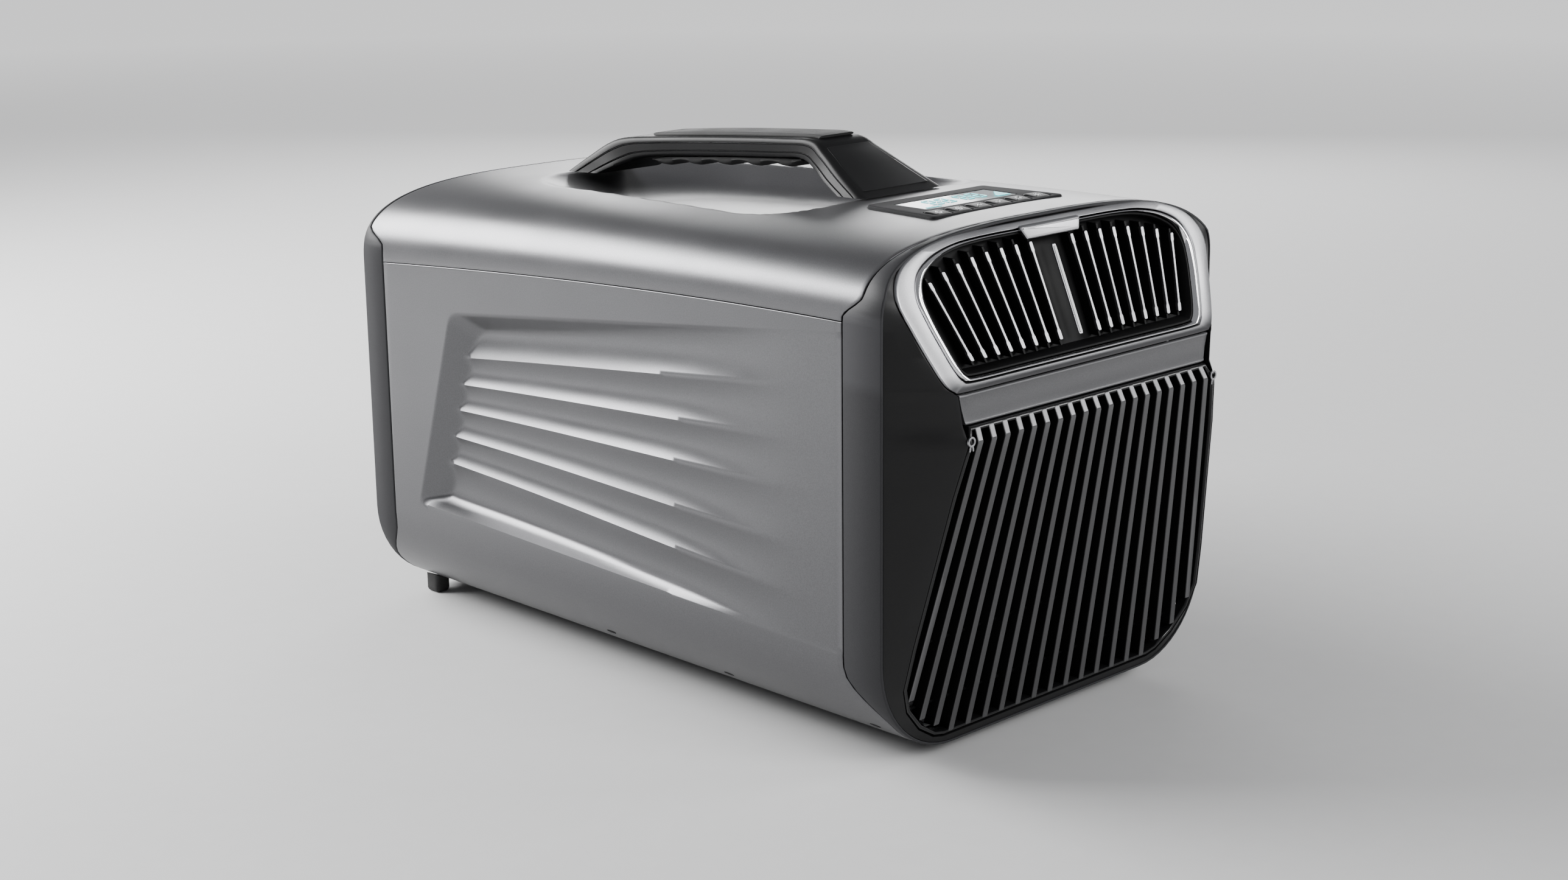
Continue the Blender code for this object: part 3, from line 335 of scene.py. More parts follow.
FINISHES = {
    "silver_shell": finish("silver_metallic_paint", (0.125, 0.125, 0.13), 0.35, 0.9, speck=0.1,
        speck_scale=1400.0, smudge=0.025, grain=0.16, grain_scale=1300.0, depth=0.00008, edge_sheen=0.25),
    "charcoal_plastic": finish("charcoal_moulding", (0.025, 0.025, 0.027), 0.52, speck=0.12,
        smudge=0.05, grain=0.35, grain_scale=1900.0, depth=0.00012, edge_sheen=0.5, gloss_level=0.16),
    "facet_plastic": finish("near_black_moulding", (0.005, 0.005, 0.0053), 0.42, speck=0.1,
        smudge=0.06, grain=0.3, grain_scale=2100.0, depth=0.0001, edge_sheen=0.4, gloss_level=0.28),
    "panel_plastic": finish("panel_dark_moulding", (0.016, 0.016, 0.017), 0.72, speck=0.12,
        smudge=0.05, grain=0.35, grain_scale=1900.0, depth=0.00012, edge_sheen=0.4, gloss_level=0.1),
    "black_plastic": finish("black_gloss_plastic", (0.0045, 0.0045, 0.0048), 0.2, speck=0.1,
        smudge=0.05, grain=0.08, grain_scale=500.0, depth=0.0001, edge_sheen=0.4, gloss_level=0.4),
    # Black moulding for the outlet insert; it also stands as painted shade on the intake louvres'
    # flanks and on the side slots.
    "black_and_shade_plastic": finish("black_moulding_and_painted_shade", (0.003, 0.003, 0.0032), 0.55, speck=0.15,
        smudge=0.06, grain=0.3, grain_scale=1200.0, edge_sheen=0.3, gloss_level=0.15),
    "louvre_plastic": finish("louvre_satin_plastic", (0.08, 0.08, 0.082), 0.34, 0.6, speck=0.1,
        smudge=0.06, grain=0.15, grain_scale=1500.0, edge_sheen=0.5),
    # A lighter copy of the louvre finish for the louvres' short upper facets: a painted highlight.
    "louvre_painted_highlight": finish("louvre_facet_painted_highlight", (0.17, 0.17, 0.175), 0.36, 0.8, speck=0.1,
        smudge=0.06, grain=0.15, grain_scale=1500.0, edge_sheen=0.3),
    "key_plastic": finish("key_gloss_black", (0.006, 0.006, 0.0065), 0.38, speck=0.1, smudge=0.05,
        grain=0.1, grain_scale=700.0, edge_sheen=0.5, gloss_level=0.06),
    "band_grey": finish("band_satin_grey", (0.11, 0.11, 0.114), 0.36, 0.45, speck=0.12,
        smudge=0.04, grain=0.2, grain_scale=1500.0, edge_sheen=0.6),
    "satin_trim": finish("satin_silver_plating", (0.33, 0.33, 0.34), 0.32, 1.0, speck=0.08,
        smudge=0.06, grain=0.16, grain_scale=900.0, edge_sheen=0.4),
    "bright_chrome": finish("bright_chrome_plating", (0.8, 0.8, 0.81), 0.1, 1.0, speck=0.03,
        smudge=0.04, smudge_scale=40.0, grain=0.1, grain_scale=220.0, edge_sheen=0.2),
    "rubber": finish("black_rubber", (0.016, 0.016, 0.016), 0.72, speck=0.25, smudge=0.1,
        grain=0.6, grain_scale=1300.0, depth=0.0002, edge_sheen=0.6),
    "handle_plastic": finish("handle_satin_black", (0.0075, 0.0075, 0.0078), 0.42, speck=0.15,
        smudge=0.05, grain=0.25, grain_scale=1700.0, edge_sheen=0.3, gloss_level=0.13),
    "display": finish("display_glass", (0.3, 0.33, 0.34), 0.16, speck=0.03, smudge=0.03,
        grain=0.03, grain_scale=300.0, gloss_level=0.12),
    "light_bar": glowing("light_bar_diffuser", (0.7, 0.71, 0.72), 0.1, 0.35),
    "filter_mesh": ribbed("filter_weave", (0.03, 0.03, 0.032), (0.004, 0.004, 0.004), 0.85, 0.0,
        0.0016, "X", 0.8, "Z"),
    "coil_fins": ribbed("aluminium_fin_pack", (0.6, 0.62, 0.65), (0.1, 0.1, 0.11), 0.4, 0.9,
        0.0018, "X"),
    "copper": finish("copper_tube", (0.72, 0.36, 0.2), 0.28, 1.0, speck=0.12, speck_scale=120.0,
        smudge=0.08, grain=0.2, grain_scale=600.0),
    "steel": finish("plated_steel", (0.5, 0.5, 0.5), 0.32, 1.0, speck=0.08, smudge=0.08,
        grain=0.25, grain_scale=700.0, stretch=(1.0, 1.0, 12.0), edge_sheen=0.4),
    "compressor_enamel": finish("compressor_enamel", (0.014, 0.014, 0.015), 0.34, speck=0.2,
        smudge=0.08, grain=0.5, grain_scale=260.0, depth=0.0004, edge_sheen=0.7, coat=0.4),
    "white_plastic": finish("white_moulding", (0.68, 0.68, 0.66), 0.46, speck=0.04, smudge=0.06,
        grain=0.3, grain_scale=1400.0, edge_sheen=0.2),
    "circuit_board": finish("circuit_board_mask", (0.016, 0.12, 0.045), 0.34, speck=0.35,
        speck_scale=260.0, smudge=0.1, grain=0.5, grain_scale=240.0, depth=0.0003, coat=0.5),
    "foam": finish("open_foam", (0.085, 0.085, 0.092), 0.95, speck=0.35, speck_scale=900.0,
        smudge=0.03, grain=0.9, grain_scale=900.0, depth=0.0008),
    # The ring's lower part is darkened below the given heights as painted shade.
    "trim_ring": painted_shade_below(finish("satin_trim_ring", (0.33, 0.33, 0.34), 0.34, 1.0, speck=0.1,
        smudge=0.06, grain=0.22, grain_scale=900.0, edge_sheen=0.3), (0.085, 0.085, 0.088), 0.2255,
        0.233),
    # The key icons are printed, yet given a glow: painted light.
    "key_icon": glowing("key_icon_print", (0.85, 0.86, 0.87), 0.6, 0.5),
    "segment_cyan": glowing("display_segment", (0.03, 0.62, 0.68), 0.55, 0.3),
    # A lighter triangle laid on the display glass: a painted reflection.
    "glass_glare": finish("display_painted_glare", (0.6, 0.62, 0.63), 0.1, speck=0.02, smudge=0.02,
        grain=0.02, grain_scale=250.0, gloss_level=0.12),
}

# ---------------------------------------------------------------- mesh helpers
collection = bpy.data.collections.new("fine_pieces")
bpy.context.scene.collection.children.link(collection)


def lattice(bm, rows, across=False, along=False):
    """Faces over a grid of points, joined up across or along where it closes on itself."""
    grid = [[bm.verts.new(point) for point in row] for row in rows]
    height, width = len(grid), len(grid[0])
    for r in range(height if along else height - 1):
        for c in range(width if across else width - 1):
            s, d = (r + 1) % height, (c + 1) % width
            bm.faces.new((grid[r][c], grid[r][d], grid[s][d], grid[s][c]))
    return grid


def across_y(y, x, z, half_x, half_z):
    """Four corners of an upright rectangle round x, z."""
    return [(x - half_x, y, z - half_z), (x + half_x, y, z - half_z), (x + half_x, y, z + half_z),
        (x - half_x, y, z + half_z)]


def closed_loft(bm, loops, ring=False):
    """A solid through closed loops, its ends capped unless a ring joins the last to the first."""
    grid = lattice(bm, loops, across=True, along=ring)
    if not ring:
        bm.faces.new(grid[0])
        bm.faces.new(grid[-1])
    return grid


def piece(name, bm, slot, body="root", node=None, crease=30.0, edge=0.0, segments=2):
    """Turns a bmesh into a finished piece on a body, standing for a CAD node."""
    bmesh.ops.recalc_face_normals(bm, faces=bm.faces)
    mesh = bpy.data.meshes.new(name)
    bm.to_mesh(mesh)
    bm.free()
    made = bpy.data.objects.new(name, mesh)
    collection.objects.link(made)
    mesh.materials.append(FINISHES[slot])
    mesh.shade_smooth()
    mesh.set_sharp_from_angle(angle=math.radians(crease))
    if edge:
        rounding = made.modifiers.new("edges", "BEVEL")
        rounding.width = edge
        rounding.segments = segments
        rounding.limit_method = "ANGLE"
        rounding.angle_limit = math.radians(crease)
        rounding.harden_normals = True
    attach(made, body)
    if node:
        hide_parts(node)
    return made


def solid(name, loops, slot, ring=False, **extra):
    """A piece made of one closed loft."""
    bm = bmesh.new()
    closed_loft(bm, loops, ring=ring)
    return piece(name, bm, slot, **extra)


def cut(target, bm):
    """Cuts a bmesh solid out of a finished piece and keeps the result as its mesh."""
    bmesh.ops.recalc_face_normals(bm, faces=bm.faces)
    mesh = bpy.data.meshes.new(target.name + "_cutter")
    bm.to_mesh(mesh)
    bm.free()
    tool = bpy.data.objects.new(target.name + "_cutter", mesh)
    collection.objects.link(tool)
    step = target.modifiers.new("cut", "BOOLEAN")
    step.object = tool
    step.solver = "EXACT"
    scene_graph = bpy.context.evaluated_depsgraph_get()
    settled = bpy.data.meshes.new_from_object(target.evaluated_get(scene_graph))
    target.modifiers.clear()
    target.data = settled
    settled.shade_smooth()
    settled.set_sharp_from_angle(angle=math.radians(30.0))
    bpy.data.objects.remove(tool, do_unlink=True)
    bpy.data.meshes.remove(mesh)


def surface_normals(rows, sign):
    """Unit normals over a grid of points."""
    height, width = len(rows), len(rows[0])
    result = []
    for r in range(height):
        line = []
        for c in range(width):
            along = rows[min(r + 1, height - 1)][c] - rows[max(r - 1, 0)][c]
            across = rows[r][min(c + 1, width - 1)] - rows[r][max(c - 1, 0)]
            line.append(along.cross(across).normalized() * sign)
        result.append(line)
    return result


def shell(bm, rows, sign, wall, radius):
    """A moulded skin with a rounded rim: an outer grid, its rolled edge and an inner grid."""
    height, width = len(rows), len(rows[0])
    facing = surface_normals(rows, sign)
    rim = [(0, c) for c in range(width)] + [(r, width - 1) for r in range(1, height)]
    rim += [(height - 1, c) for c in range(width - 2, -1, -1)] + [(r, 0)
        for r in range(height - 2, 0, -1)]
    outward = {}
    for i, (r, c) in enumerate(rim):
        before, after = rim[i - 1], rim[(i + 1) % len(rim)]
        heading = rows[after[0]][after[1]] - rows[before[0]][before[1]]
        away = heading.cross(facing[r][c]).normalized()
        inner = rows[min(max(r, 1), height - 2)][min(max(c, 1), width - 2)]
        if away.dot(rows[r][c] - inner) < 0:
            away.negate()
        outward[(r, c)] = away
    outer = [list(row) for row in rows]
    for (r, c), away in outward.items():
        outer[r][c] = rows[r][c] - away * radius
    under = [[rows[r][c] - facing[r][c] * wall for c in range(width)] for r in range(height)]
    skin = lattice(bm, outer)
    lining = lattice(bm, under)
    rings = [[skin[r][c] for r, c in rim]]
    for turn in (30, 60, 90):
        a = math.radians(turn)
        ring = []
        for r, c in rim:
            spot = outer[r][c] + outward[(r, c)] * radius * math.sin(a)
            ring.append(bm.verts.new(spot - facing[r][c] * radius * (1 - math.cos(a))))
        rings.append(ring)
    rings.append([lining[r][c] for r, c in rim])
    for near, far in zip(rings, rings[1:]):
        for i in range(len(rim)):
            j = (i + 1) % len(rim)
            bm.faces.new((near[i], near[j], far[j], far[i]))


# ---------------------------------------------------------------- top shell
POCKET_FRONT_Y, POCKET_REAR_Y = -0.099, 0.183
POCKET_HALF_FRONT, POCKET_HALF_REAR = 0.097, 0.072
POCKET_FLOOR = 0.0205               # how deep the hand recess is
POCKET_SLOPE = 0.62                 # fall of its walls
POCKET_CORNER = 0.05


def pocket_depth(x, y):
    """Depth of the hand recess under the handle: sloping walls round a level floor."""
    along = (y - POCKET_FRONT_Y) / (POCKET_REAR_Y - POCKET_FRONT_Y)
    half = mix(POCKET_HALF_FRONT, POCKET_HALF_REAR, smooth(along) * 0.4 + 0.6 * clamp(along))
    ends = soft_min(y - POCKET_FRONT_Y, (POCKET_REAR_Y - y) * 0.75, POCKET_CORNER)
    inside = soft_min(half - abs(x), ends, POCKET_CORNER)
    return max(soft_min(POCKET_FLOOR, inside * POCKET_SLOPE, 0.008), 0.0) if inside > 0 else 0.0


def top_shell():
    rows = []
    shares = shoulder_shares(128)
    for step in spread(0.0, 1.0, 150):
        line = []
        for share in shares:
            z_front = SEAM_FRONT + (CROWN_FRONT - SEAM_FRONT) * lift(share)
            z_rear = top_z(share * HALF, rear_edge(0.2))
            y = mix(front_edge(z_front) + GAP, rear_edge(z_rear) - GAP, step)
            base = seam_z(y) + GAP / 2
            x = share * HALF
            line.append(Vector((x, y, mix(base, crown_z(y), lift(share)) - pocket_depth(x, y))))
        rows.append(line)
    bm = bmesh.new()
    shell(bm, rows, -1, WALL, 0.0005)
    made = piece("top_shell_skin", bm, "silver_shell", node="top_shell", crease=45.0)
    opening = bmesh.new()
    outline = rounded_corners(panel_corners(GAP), 0.0042, 6)
    closed_loft(opening, [[(x, y, z) for x, y in outline] for z in (0.292, 0.32)])
    cut(made, opening)


# ---------------------------------------------------------------- side panels
def line_z(offset, slope):
    return lambda y: offset + slope * y


RECESS_LOW = line_z(0.073, 0.028)
RECESS_HIGH = line_z(0.2324, -0.1082)
RIB_LINES = [line_z(0.1022, 0.0421), line_z(0.1267, 0.0112), line_z(0.153, -0.0328),
    line_z(0.1766, -0.0677), line_z(0.2014, -0.1077)]
RECESS_REAR_Y = 0.1816              # rear outline of the recess, at RECESS_MIDDLE_Z
RECESS_MIDDLE_Z = 0.144
RECESS_LEAN = -0.309                # how far that outline moves along Y for each metre up
RECESS_FLOOR = 0.0085
WALL_SLOPES = (0.62, 0.95, 2.2)    # rear, upper and lower walls of the recess
CORNER_REACH = 0.0075               # how widely its outline is rounded where two walls meet
SCALLOP = 0.0037                    # how far the panel sinks between two ribs
RECESS_SPAN = (0.078, 0.222)        # heights between which the panel's grid leans with the recess
PANEL_DENSE_Y = 0.14               # the grid is finer behind this line
PANEL_SHEAR_END = 0.033


def recess_depth(y, z):
    """Depth of the side recess: sloping walls, a floor rising to the front, a fan of ribs."""
    rear = RECESS_REAR_Y + RECESS_LEAN * (z - RECESS_MIDDLE_Z) - y
    upper, lower = RECESS_HIGH(y) - z, z - RECESS_LOW(y)
    if min(rear, upper, lower) < -0.002:
        return 0.0
    floor = RECESS_FLOOR * smooth((y + 0.158) / 0.29)
    walls = soft_min(rear * WALL_SLOPES[0], upper * WALL_SLOPES[1], CORNER_REACH)
    walls = soft_min(walls, lower * WALL_SLOPES[2], CORNER_REACH)
    lines = [RECESS_LOW(y)] + [rib(y) for rib in RIB_LINES] + [RECESS_HIGH(y)]
    fade = smooth((y + 0.185) / 0.15)
    for low, high in zip(lines, lines[1:]):
        if low < z < high:
            t = (z - low) / (high - low)
            floor += SCALLOP * fade * 4 * t * (1 - t) * min((high - low) / 0.024, 1.0)
    depth = soft_min(floor, walls, 0.001)
    return -soft_min(-depth, 0.0, 0.0006)


def side_panel(name, side):
    stops = [(-0.1966, PANEL_DENSE_Y, 64), (PANEL_DENSE_Y, 0.17, 16), (0.17, 0.186, 24),
        (0.186, 0.2306, 14)]
    places = [stops[0][0]]
    for low, high, count in stops:
        places += spread(low, high, count)[1:]
    counts = [3, 12, 12, 12, 12, 12, 14, 12, 10]
    levels = [lambda y: CORNER_Z, RECESS_LOW] + RIB_LINES
    levels += [RECESS_HIGH, lambda y: mix(RECESS_HIGH(y), seam_z(y), 0.5),
        lambda y: seam_z(y) - GAP / 2]
    rows = []
    for place in places:
        step = (place - places[0]) / (places[-1] - places[0])
        sheared = clamp(place / PANEL_DENSE_Y) * clamp((places[-1] - place) / PANEL_SHEAR_END)

        def spot(z):
            """The y of the grid line at z: it leans with the recess's rear outline near it."""
            shift = RECESS_LEAN * (min(max(z, RECESS_SPAN[0]),
                RECESS_SPAN[1]) - RECESS_MIDDLE_Z) * sheared
            return mix(front_edge(z) + GAP, rear_edge(z) - GAP, step) + shift

        line = []
        for turn in spread(math.pi / 2, 0.0, 16):
            z = CORNER_Z - EDGE_RADIUS * math.sin(turn)
            line.append((-(HALF - EDGE_RADIUS) - EDGE_RADIUS * math.cos(turn), spot(z), z))
        for low, high, count in zip(levels, levels[1:], counts):
            for t in spread(0.0, 1.0, count + 1)[1:]:
                z = mix(low(place), high(place), t)
                z = mix(low(spot(z)), high(spot(z)), t)
                line.append((-HALF + recess_depth(spot(z), z), spot(z), z))
        rows.append([Vector((side * -x, y, z)) for x, y, z in line])
    bm = bmesh.new()
    shell(bm, rows, side, WALL, 0.0005)
    piece(name + "_skin", bm, "silver_shell", node=name, crease=50.0)


# ---------------------------------------------------------------- bezels
def body_outline(y, inset):
    """Cross-section of the body at y: x, z and the height of the skin that the point belongs to."""
    loop = []
    for share in shoulder_shares(97):
        x = share * (HALF - inset)
        loop.append((x, top_z(x, y, inset), top_z(share * HALF, y)))
    levels = spread(seam_z(y), CORNER_Z, 26)[1:-1]
    turns = spread(0.0, math.pi / 2, 15)
    radius = EDGE_RADIUS - inset
    arc = [(HALF - EDGE_RADIUS + radius * math.cos(a), CORNER_Z - radius * math.sin(a))
        for a in turns]
    skin = [CORNER_Z - EDGE_RADIUS * math.sin(a) for a in turns]
    loop += [(HALF - inset, z, z) for z in levels]
    loop += [(x, z, s) for (x, z), s in zip(arc, skin)]
    across = spread(HALF - EDGE_RADIUS, -(HALF - EDGE_RADIUS), 13)[1:-1]
    loop += [(x, FLOOR_CLEARANCE + inset, FLOOR_CLEARANCE) for x in across]
    loop += [(-x, z, s) for (x, z), s in reversed(list(zip(arc, skin)))]
    loop += [(-(HALF - inset), z, z) for z in reversed(levels)]
    return loop


def bezel(name, near, far, radius, node, wall=WALL):
    """A band round the body between two edges given by height, its long edges rounded."""
    loops = []
    soft = radius * (1 - math.sqrt(0.5))
    profile = [(near, 0.0, wall), (near, 0.0, radius), (near, soft, soft), (near, radius, 0.0)]
    profile += [(far, -radius, 0.0), (far, -soft, soft), (far, 0.0, radius), (far, 0.0, wall)]
    for edge, shift, inset in profile:
        loop = []
        for x, z, skin in body_outline(edge(0.2), inset):
            y = edge(skin) + shift
            if skin > SEAM_FRONT - SEAM_DROP - 0.001:
                z = top_z(x, y, inset)
            loop.append((x, y, z))
        loops.append(loop)
    solid(name, loops, "charcoal_plastic", ring=True, node=node, crease=60.0)


# ---------------------------------------------------------------- outlines on the nose
def rounded_corners(corners, radius, steps):
    """A closed polygon with its corners rounded to a radius."""
    path = []
    count = len(corners)
    for i in range(count):
        before, here, after = (Vector(corners[k % count]) for k in (i - 1, i, i + 1))
        back, on = (before - here).normalized(), (after - here).normalized()
        half_angle = back.angle(on) / 2
        run = radius / math.tan(half_angle)
        start, end = here + back * run, here + on * run
        for t in spread(0.0, 1.0, steps):
            a, b = start.lerp(here, t), here.lerp(end, t)
            path.append(tuple(a.lerp(b, t)))
    return path


def spline(p0, p1, p2, p3, t):
    """A Catmull-Rom curve from p1 to p2."""
    bend = (2 * p0 - 5 * p1 + 4 * p2 - p3) * t * t + (3 * p1 - p0 - 3 * p2 + p3) * t ** 3
    return (2 * p1 + (p2 - p0) * t + bend) / 2


def curved(points, steps):
    """A curve through a half outline, level at its ends on the centreline."""
    ends = [(-points[1][0], points[1][1])] + list(points) + [(-points[-2][0], points[-2][1])]
    path = []
    for i in range(1, len(ends) - 2):
        knots = [Vector(ends[i + k]) for k in (-1, 0, 1, 2)]
        path += [spline(*knots, t) for t in spread(0.0, 1.0, steps + 1)[:-1]]
    return path + [Vector(points[-1])]


def whole(half):
    """A closed outline from its right half, from the top centre to the bottom centre."""
    return [tuple(p) for p in half] + [(-p[0], p[1]) for p in reversed(half) if p[0] > 1e-6]


def moved(outline, amount):
    """A closed outline moved inwards by an amount."""
    count = len(outline)
    result = []
    for i in range(count):
        before, here, after = (Vector(outline[k % count]) for k in (i - 1, i, i + 1))
        heading = (here - before).normalized() + (after - here).normalized()
        normal = Vector((heading.y, -heading.x)).normalized()
        result.append(tuple(here + normal * amount))
    return result


# Right halves of the outlines on the outlet face, as x and z: inside the chrome ring, between it
# and the trim, and outside the trim.
RIM_STEPS = 6
RIM_INNER = [(0, 0.2972), (0.03, 0.2972), (0.06, 0.297), (0.082, 0.2954), (0.1, 0.2912),
    (0.113, 0.284), (0.1178, 0.274), (0.1165, 0.262), (0.1125, 0.249), (0.108, 0.237),
    (0.1035, 0.2307), (0.096, 0.2288), (0.06, 0.2287), (0.03, 0.2287), (0, 0.2287)]
RIM_MIDDLE = [(0, 0.2985), (0.0305, 0.2985), (0.061, 0.2983), (0.084, 0.29685), (0.1035, 0.2927),
    (0.11775, 0.2853), (0.12365, 0.274), (0.12135, 0.261), (0.11675, 0.247), (0.112, 0.23475),
    (0.10735, 0.22875), (0.1, 0.227), (0.061, 0.2269), (0.03, 0.2269), (0, 0.2269)]
RIM_OUTER = [(0, 0.3022), (0.032, 0.3022), (0.064, 0.3019), (0.09, 0.3005), (0.113, 0.2962),
    (0.1305, 0.288), (0.1382, 0.275), (0.1335, 0.258), (0.1268, 0.24), (0.1212, 0.228),
    (0.1165, 0.2235), (0.109, 0.2222), (0.064, 0.2221), (0.03, 0.2221), (0, 0.2221)]


def face_ring(name, outer, inner, profile, slot, node):
    """A ring on the outlet face. The profile lists shares from outer to inner and depths."""
    loops = []
    for share, depth in profile:
        loop = []
        for (xo, zo), (xi, zi) in zip(outer, inner):
            x, z = mix(xo, xi, share), mix(zo, zi, share)
            loop.append((x, outlet_y(z) + depth, z))
        loops.append(loop)
    solid(name, loops, slot, ring=True, node=node, crease=40.0)


def outlet_rings():
    outer = moved(whole(curved(RIM_OUTER, RIM_STEPS)), GAP / 2)
    inner = whole(curved(RIM_INNER, RIM_STEPS))
    middle = whole(curved(RIM_MIDDLE, RIM_STEPS))
    trim = [(0.0, 0.005), (0.0, 0.0018), (0.04, 0.0011), (0.12, 0.0009), (0.9, 0.0001),
        (0.97, 0.0003), (1.0, 0.001), (1.0, 0.005)]
    face_ring("outlet_trim", outer, moved(middle, -GAP), trim, "trim_ring", "outlet_trim_ring")
    chrome = [(0.0, 0.005), (0.0, 0.0014), (0.08, 0.0003), (0.25, -0.0004), (0.5, -0.0006),
        (0.75, -0.0002), (0.93, 0.0012), (1.0, 0.003), (1.0, 0.005)]
    face_ring("outlet_chrome", moved(middle, GAP), inner, chrome, "bright_chrome",
        "outlet_chrome_ring")


# ---------------------------------------------------------------- outlet insert
FIN_LOW_X, FIN_HIGH_X = (0.0175, 0.094), (0.0185, 0.109)
FINS = 8
FIN_LOW_Z = 0.2365
FIN_DEPTH = 0.011
INSERT_SINK = 0.0022                # the insert's front sits this far behind the outlet face


def fin_line(index, side):
    """The foot and the head of an outlet fin on its front line, as x and z."""
    share = index / (FINS - 1)
    head = 0.2905 - 0.0105 * share ** 3
    return Vector((side * mix(*FIN_LOW_X, share), FIN_LOW_Z)), Vector((side * mix(*FIN_HIGH_X,
        share), head))


def bar(bm, path, half_width, front, back):
    """A bar along a path of x, z points, between two depths behind the nose's face."""
    loops = []
    for (x, z), half in zip(path, half_width):
        y = front(z)
        loops.append([(x - half, y, z), (x + half, y, z), (x + half, y + back, z),
            (x - half, y + back, z)])
    closed_loft(bm, loops)


def outlet_insert():
    body = "outlet_grille_insert"
    rim = moved(whole(curved(RIM_INNER, RIM_STEPS)), GAP)
    frame_bm = bmesh.new()
    steps = [(0.0, 0.01), (0.0, 0.0026), (0.0003, 0.0022), (0.0011, 0.0022), (0.0015, 0.0027),
        (0.0026, 0.011), (0.0028, 0.014), (0.0028, 0.015)]
    loops = []
    for inset, depth in steps:
        loops.append([(x, outlet_y(z) + depth, z) for x, z in moved(rim, inset)])
    grid = lattice(frame_bm, loops, across=True)
    frame_bm.faces.new(grid[0])
    frame_bm.faces.new(grid[-1])
    piece("outlet_grille_tray", frame_bm, "black_and_shade_plastic", body=body, node="outlet_grille",
        crease=35.0)
    blades, edges = bmesh.new(), bmesh.new()
    for side in (-1, 1):
        for index in range(FINS):
            foot, head = fin_line(index, side)
            path = [foot.lerp(head, t) for t in (-0.06, 0.0, 1.0, 1.05)]
            bar(blades, path, [0.0009] * 4, lambda z: outlet_y(z) + INSERT_SINK + 0.0008, FIN_DEPTH)
            marks = (0.0, 0.015, 0.09, 0.115, 0.5, 0.885, 0.91, 0.985, 1.0)
            widths = (0.001, 0.0015, 0.0015, 0.00095, 0.00085, 0.00095, 0.0014, 0.0014, 0.001)
            path = [foot.lerp(head, t) for t in marks]
            bar(edges, path, widths, lambda z: outlet_y(z) + INSERT_SINK - 0.0006, 0.0022)
    piece("outlet_fins", blades, "black_and_shade_plastic", body=body, node="outlet_grille", edge=0.0003)
    piece("outlet_fin_edges", edges, "satin_trim", body=body, node="outlet_grille", crease=25.0,
        edge=0.0004, segments=3)
    rungs = bmesh.new()
    for z in spread(0.242, 0.286, 6):
        half = 0.101 + 0.25 * (z - 0.242)
        loop = []
        for t in spread(-1.0, 1.0, 17):
            sag = 0.0006 * (1 - t * t)
            loop.append([(t * half, outlet_y(z) + 0.0125 + dy, z + dz - sag) for dy,
                dz in ((0, -0.0006), (0, 0.0006), (0.0035, 0.0016), (0.0035, 0.0004))])
        closed_loft(rungs, loop)
    piece("outlet_inner_slats", rungs, "black_and_shade_plastic", body=body, node="outlet_grille",
        edge=0.0002)
    channel, lamp = bmesh.new(), bmesh.new()
    marks = [Vector((0.0, z)) for z in (0.2372, 0.2384, 0.286, 0.2872)]
    bar(channel, marks, (0.0014, 0.0018, 0.0018, 0.0014), lambda z: outlet_y(z) + 0.001, 0.0012)
    piece("outlet_light_channel", channel, "satin_trim", body=body, node="outlet_light_bar",
        edge=0.0005, segments=3)
    marks = [Vector((0.0, z)) for z in (0.2384, 0.2392, 0.2852, 0.286)]
    bar(lamp, marks, (0.0008, 0.0011, 0.0011, 0.0008), lambda z: outlet_y(z) + 0.0004, 0.002)
    piece("outlet_light_lens", lamp, "light_bar", body=body, node="outlet_light_bar",
        edge=0.0004, segments=3)
    tab = bmesh.new()
    outline = rounded_corners([(-0.023, 0.2925), (0.023, 0.2925), (0.0272, 0.3),
        (-0.0272, 0.3)], 0.0012, 5)
    rise = [(0.0, 0.001), (0.0, -0.0008), (0.0006, -0.0015), (0.0018, -0.0017)]
    loops = [[(x, outlet_y(z) + depth, z) for x, z in moved(outline, -inset)] for inset,
        depth in rise]
    closed_loft(tab, loops)
    piece("outlet_latch", tab, "satin_trim", body="outlet_latch", node="outlet_latch_tab",
        crease=35.0, edge=0.0003)


# ---------------------------------------------------------------- band and intake
def centre_band():
    rear = outlet_y(0.2222) + 0.0004
    profile = [(0.02, 0.0034), (0.0, 0.0026), (0.0, 0.0008), (0.02, 0.0002), (0.06, 0.0),
        (0.11, 0.0004), (0.5, 0.0007), (0.89, 0.0004), (0.94, 0.0), (0.98, 0.0002), (1.0, 0.0008),
        (1.0, 0.0026), (0.98, 0.0034)]
    loops = []
    for t in spread(-1.0, 1.0, 61):
        tuck = 0.0007 * smooth((abs(t) - 0.975) / 0.025)
        loop = []
        for up, depth in profile:
            z = mix(BAND_LOW_Z, BAND_TOP_Z, up)
            loop.append((t * mix(0.1085, 0.113, up), rear + depth + tuck - 0.06 * (BAND_TOP_Z - z),
                z))
        loops.append(loop)
    solid("centre_band_face", loops, "band_grey", node="centre_band", crease=35.0)


INTAKE_HALF = [(0, 0.2038), (0.108, 0.2038), (0.112, 0.195), (0.119, 0.165), (0.127, 0.117),
    (0.1335, 0.078), (0.1365, 0.052), (0.131, 0.037), (0.118, 0.023), (0.104, 0.0145),
    (0.095, 0.0125), (0, 0.0125)]
LOUVRES = 19
LOUVRE_TOP_PITCH, LOUVRE_LOW_PITCH = 0.0113, 0.0149
LOUVRE_TOP_Z, LOUVRE_LOW_Z = 0.2026, 0.014


def intake_border(z):
    """Half width of the intake opening at height z."""
    for (x0, z0), (x1, z1) in zip(INTAKE_HALF[1:], INTAKE_HALF[2:]):
        if z1 <= z <= z0:
            return mix(x0, x1, (z0 - z) / max(z0 - z1, 1e-6))
    return INTAKE_HALF[-2][0]


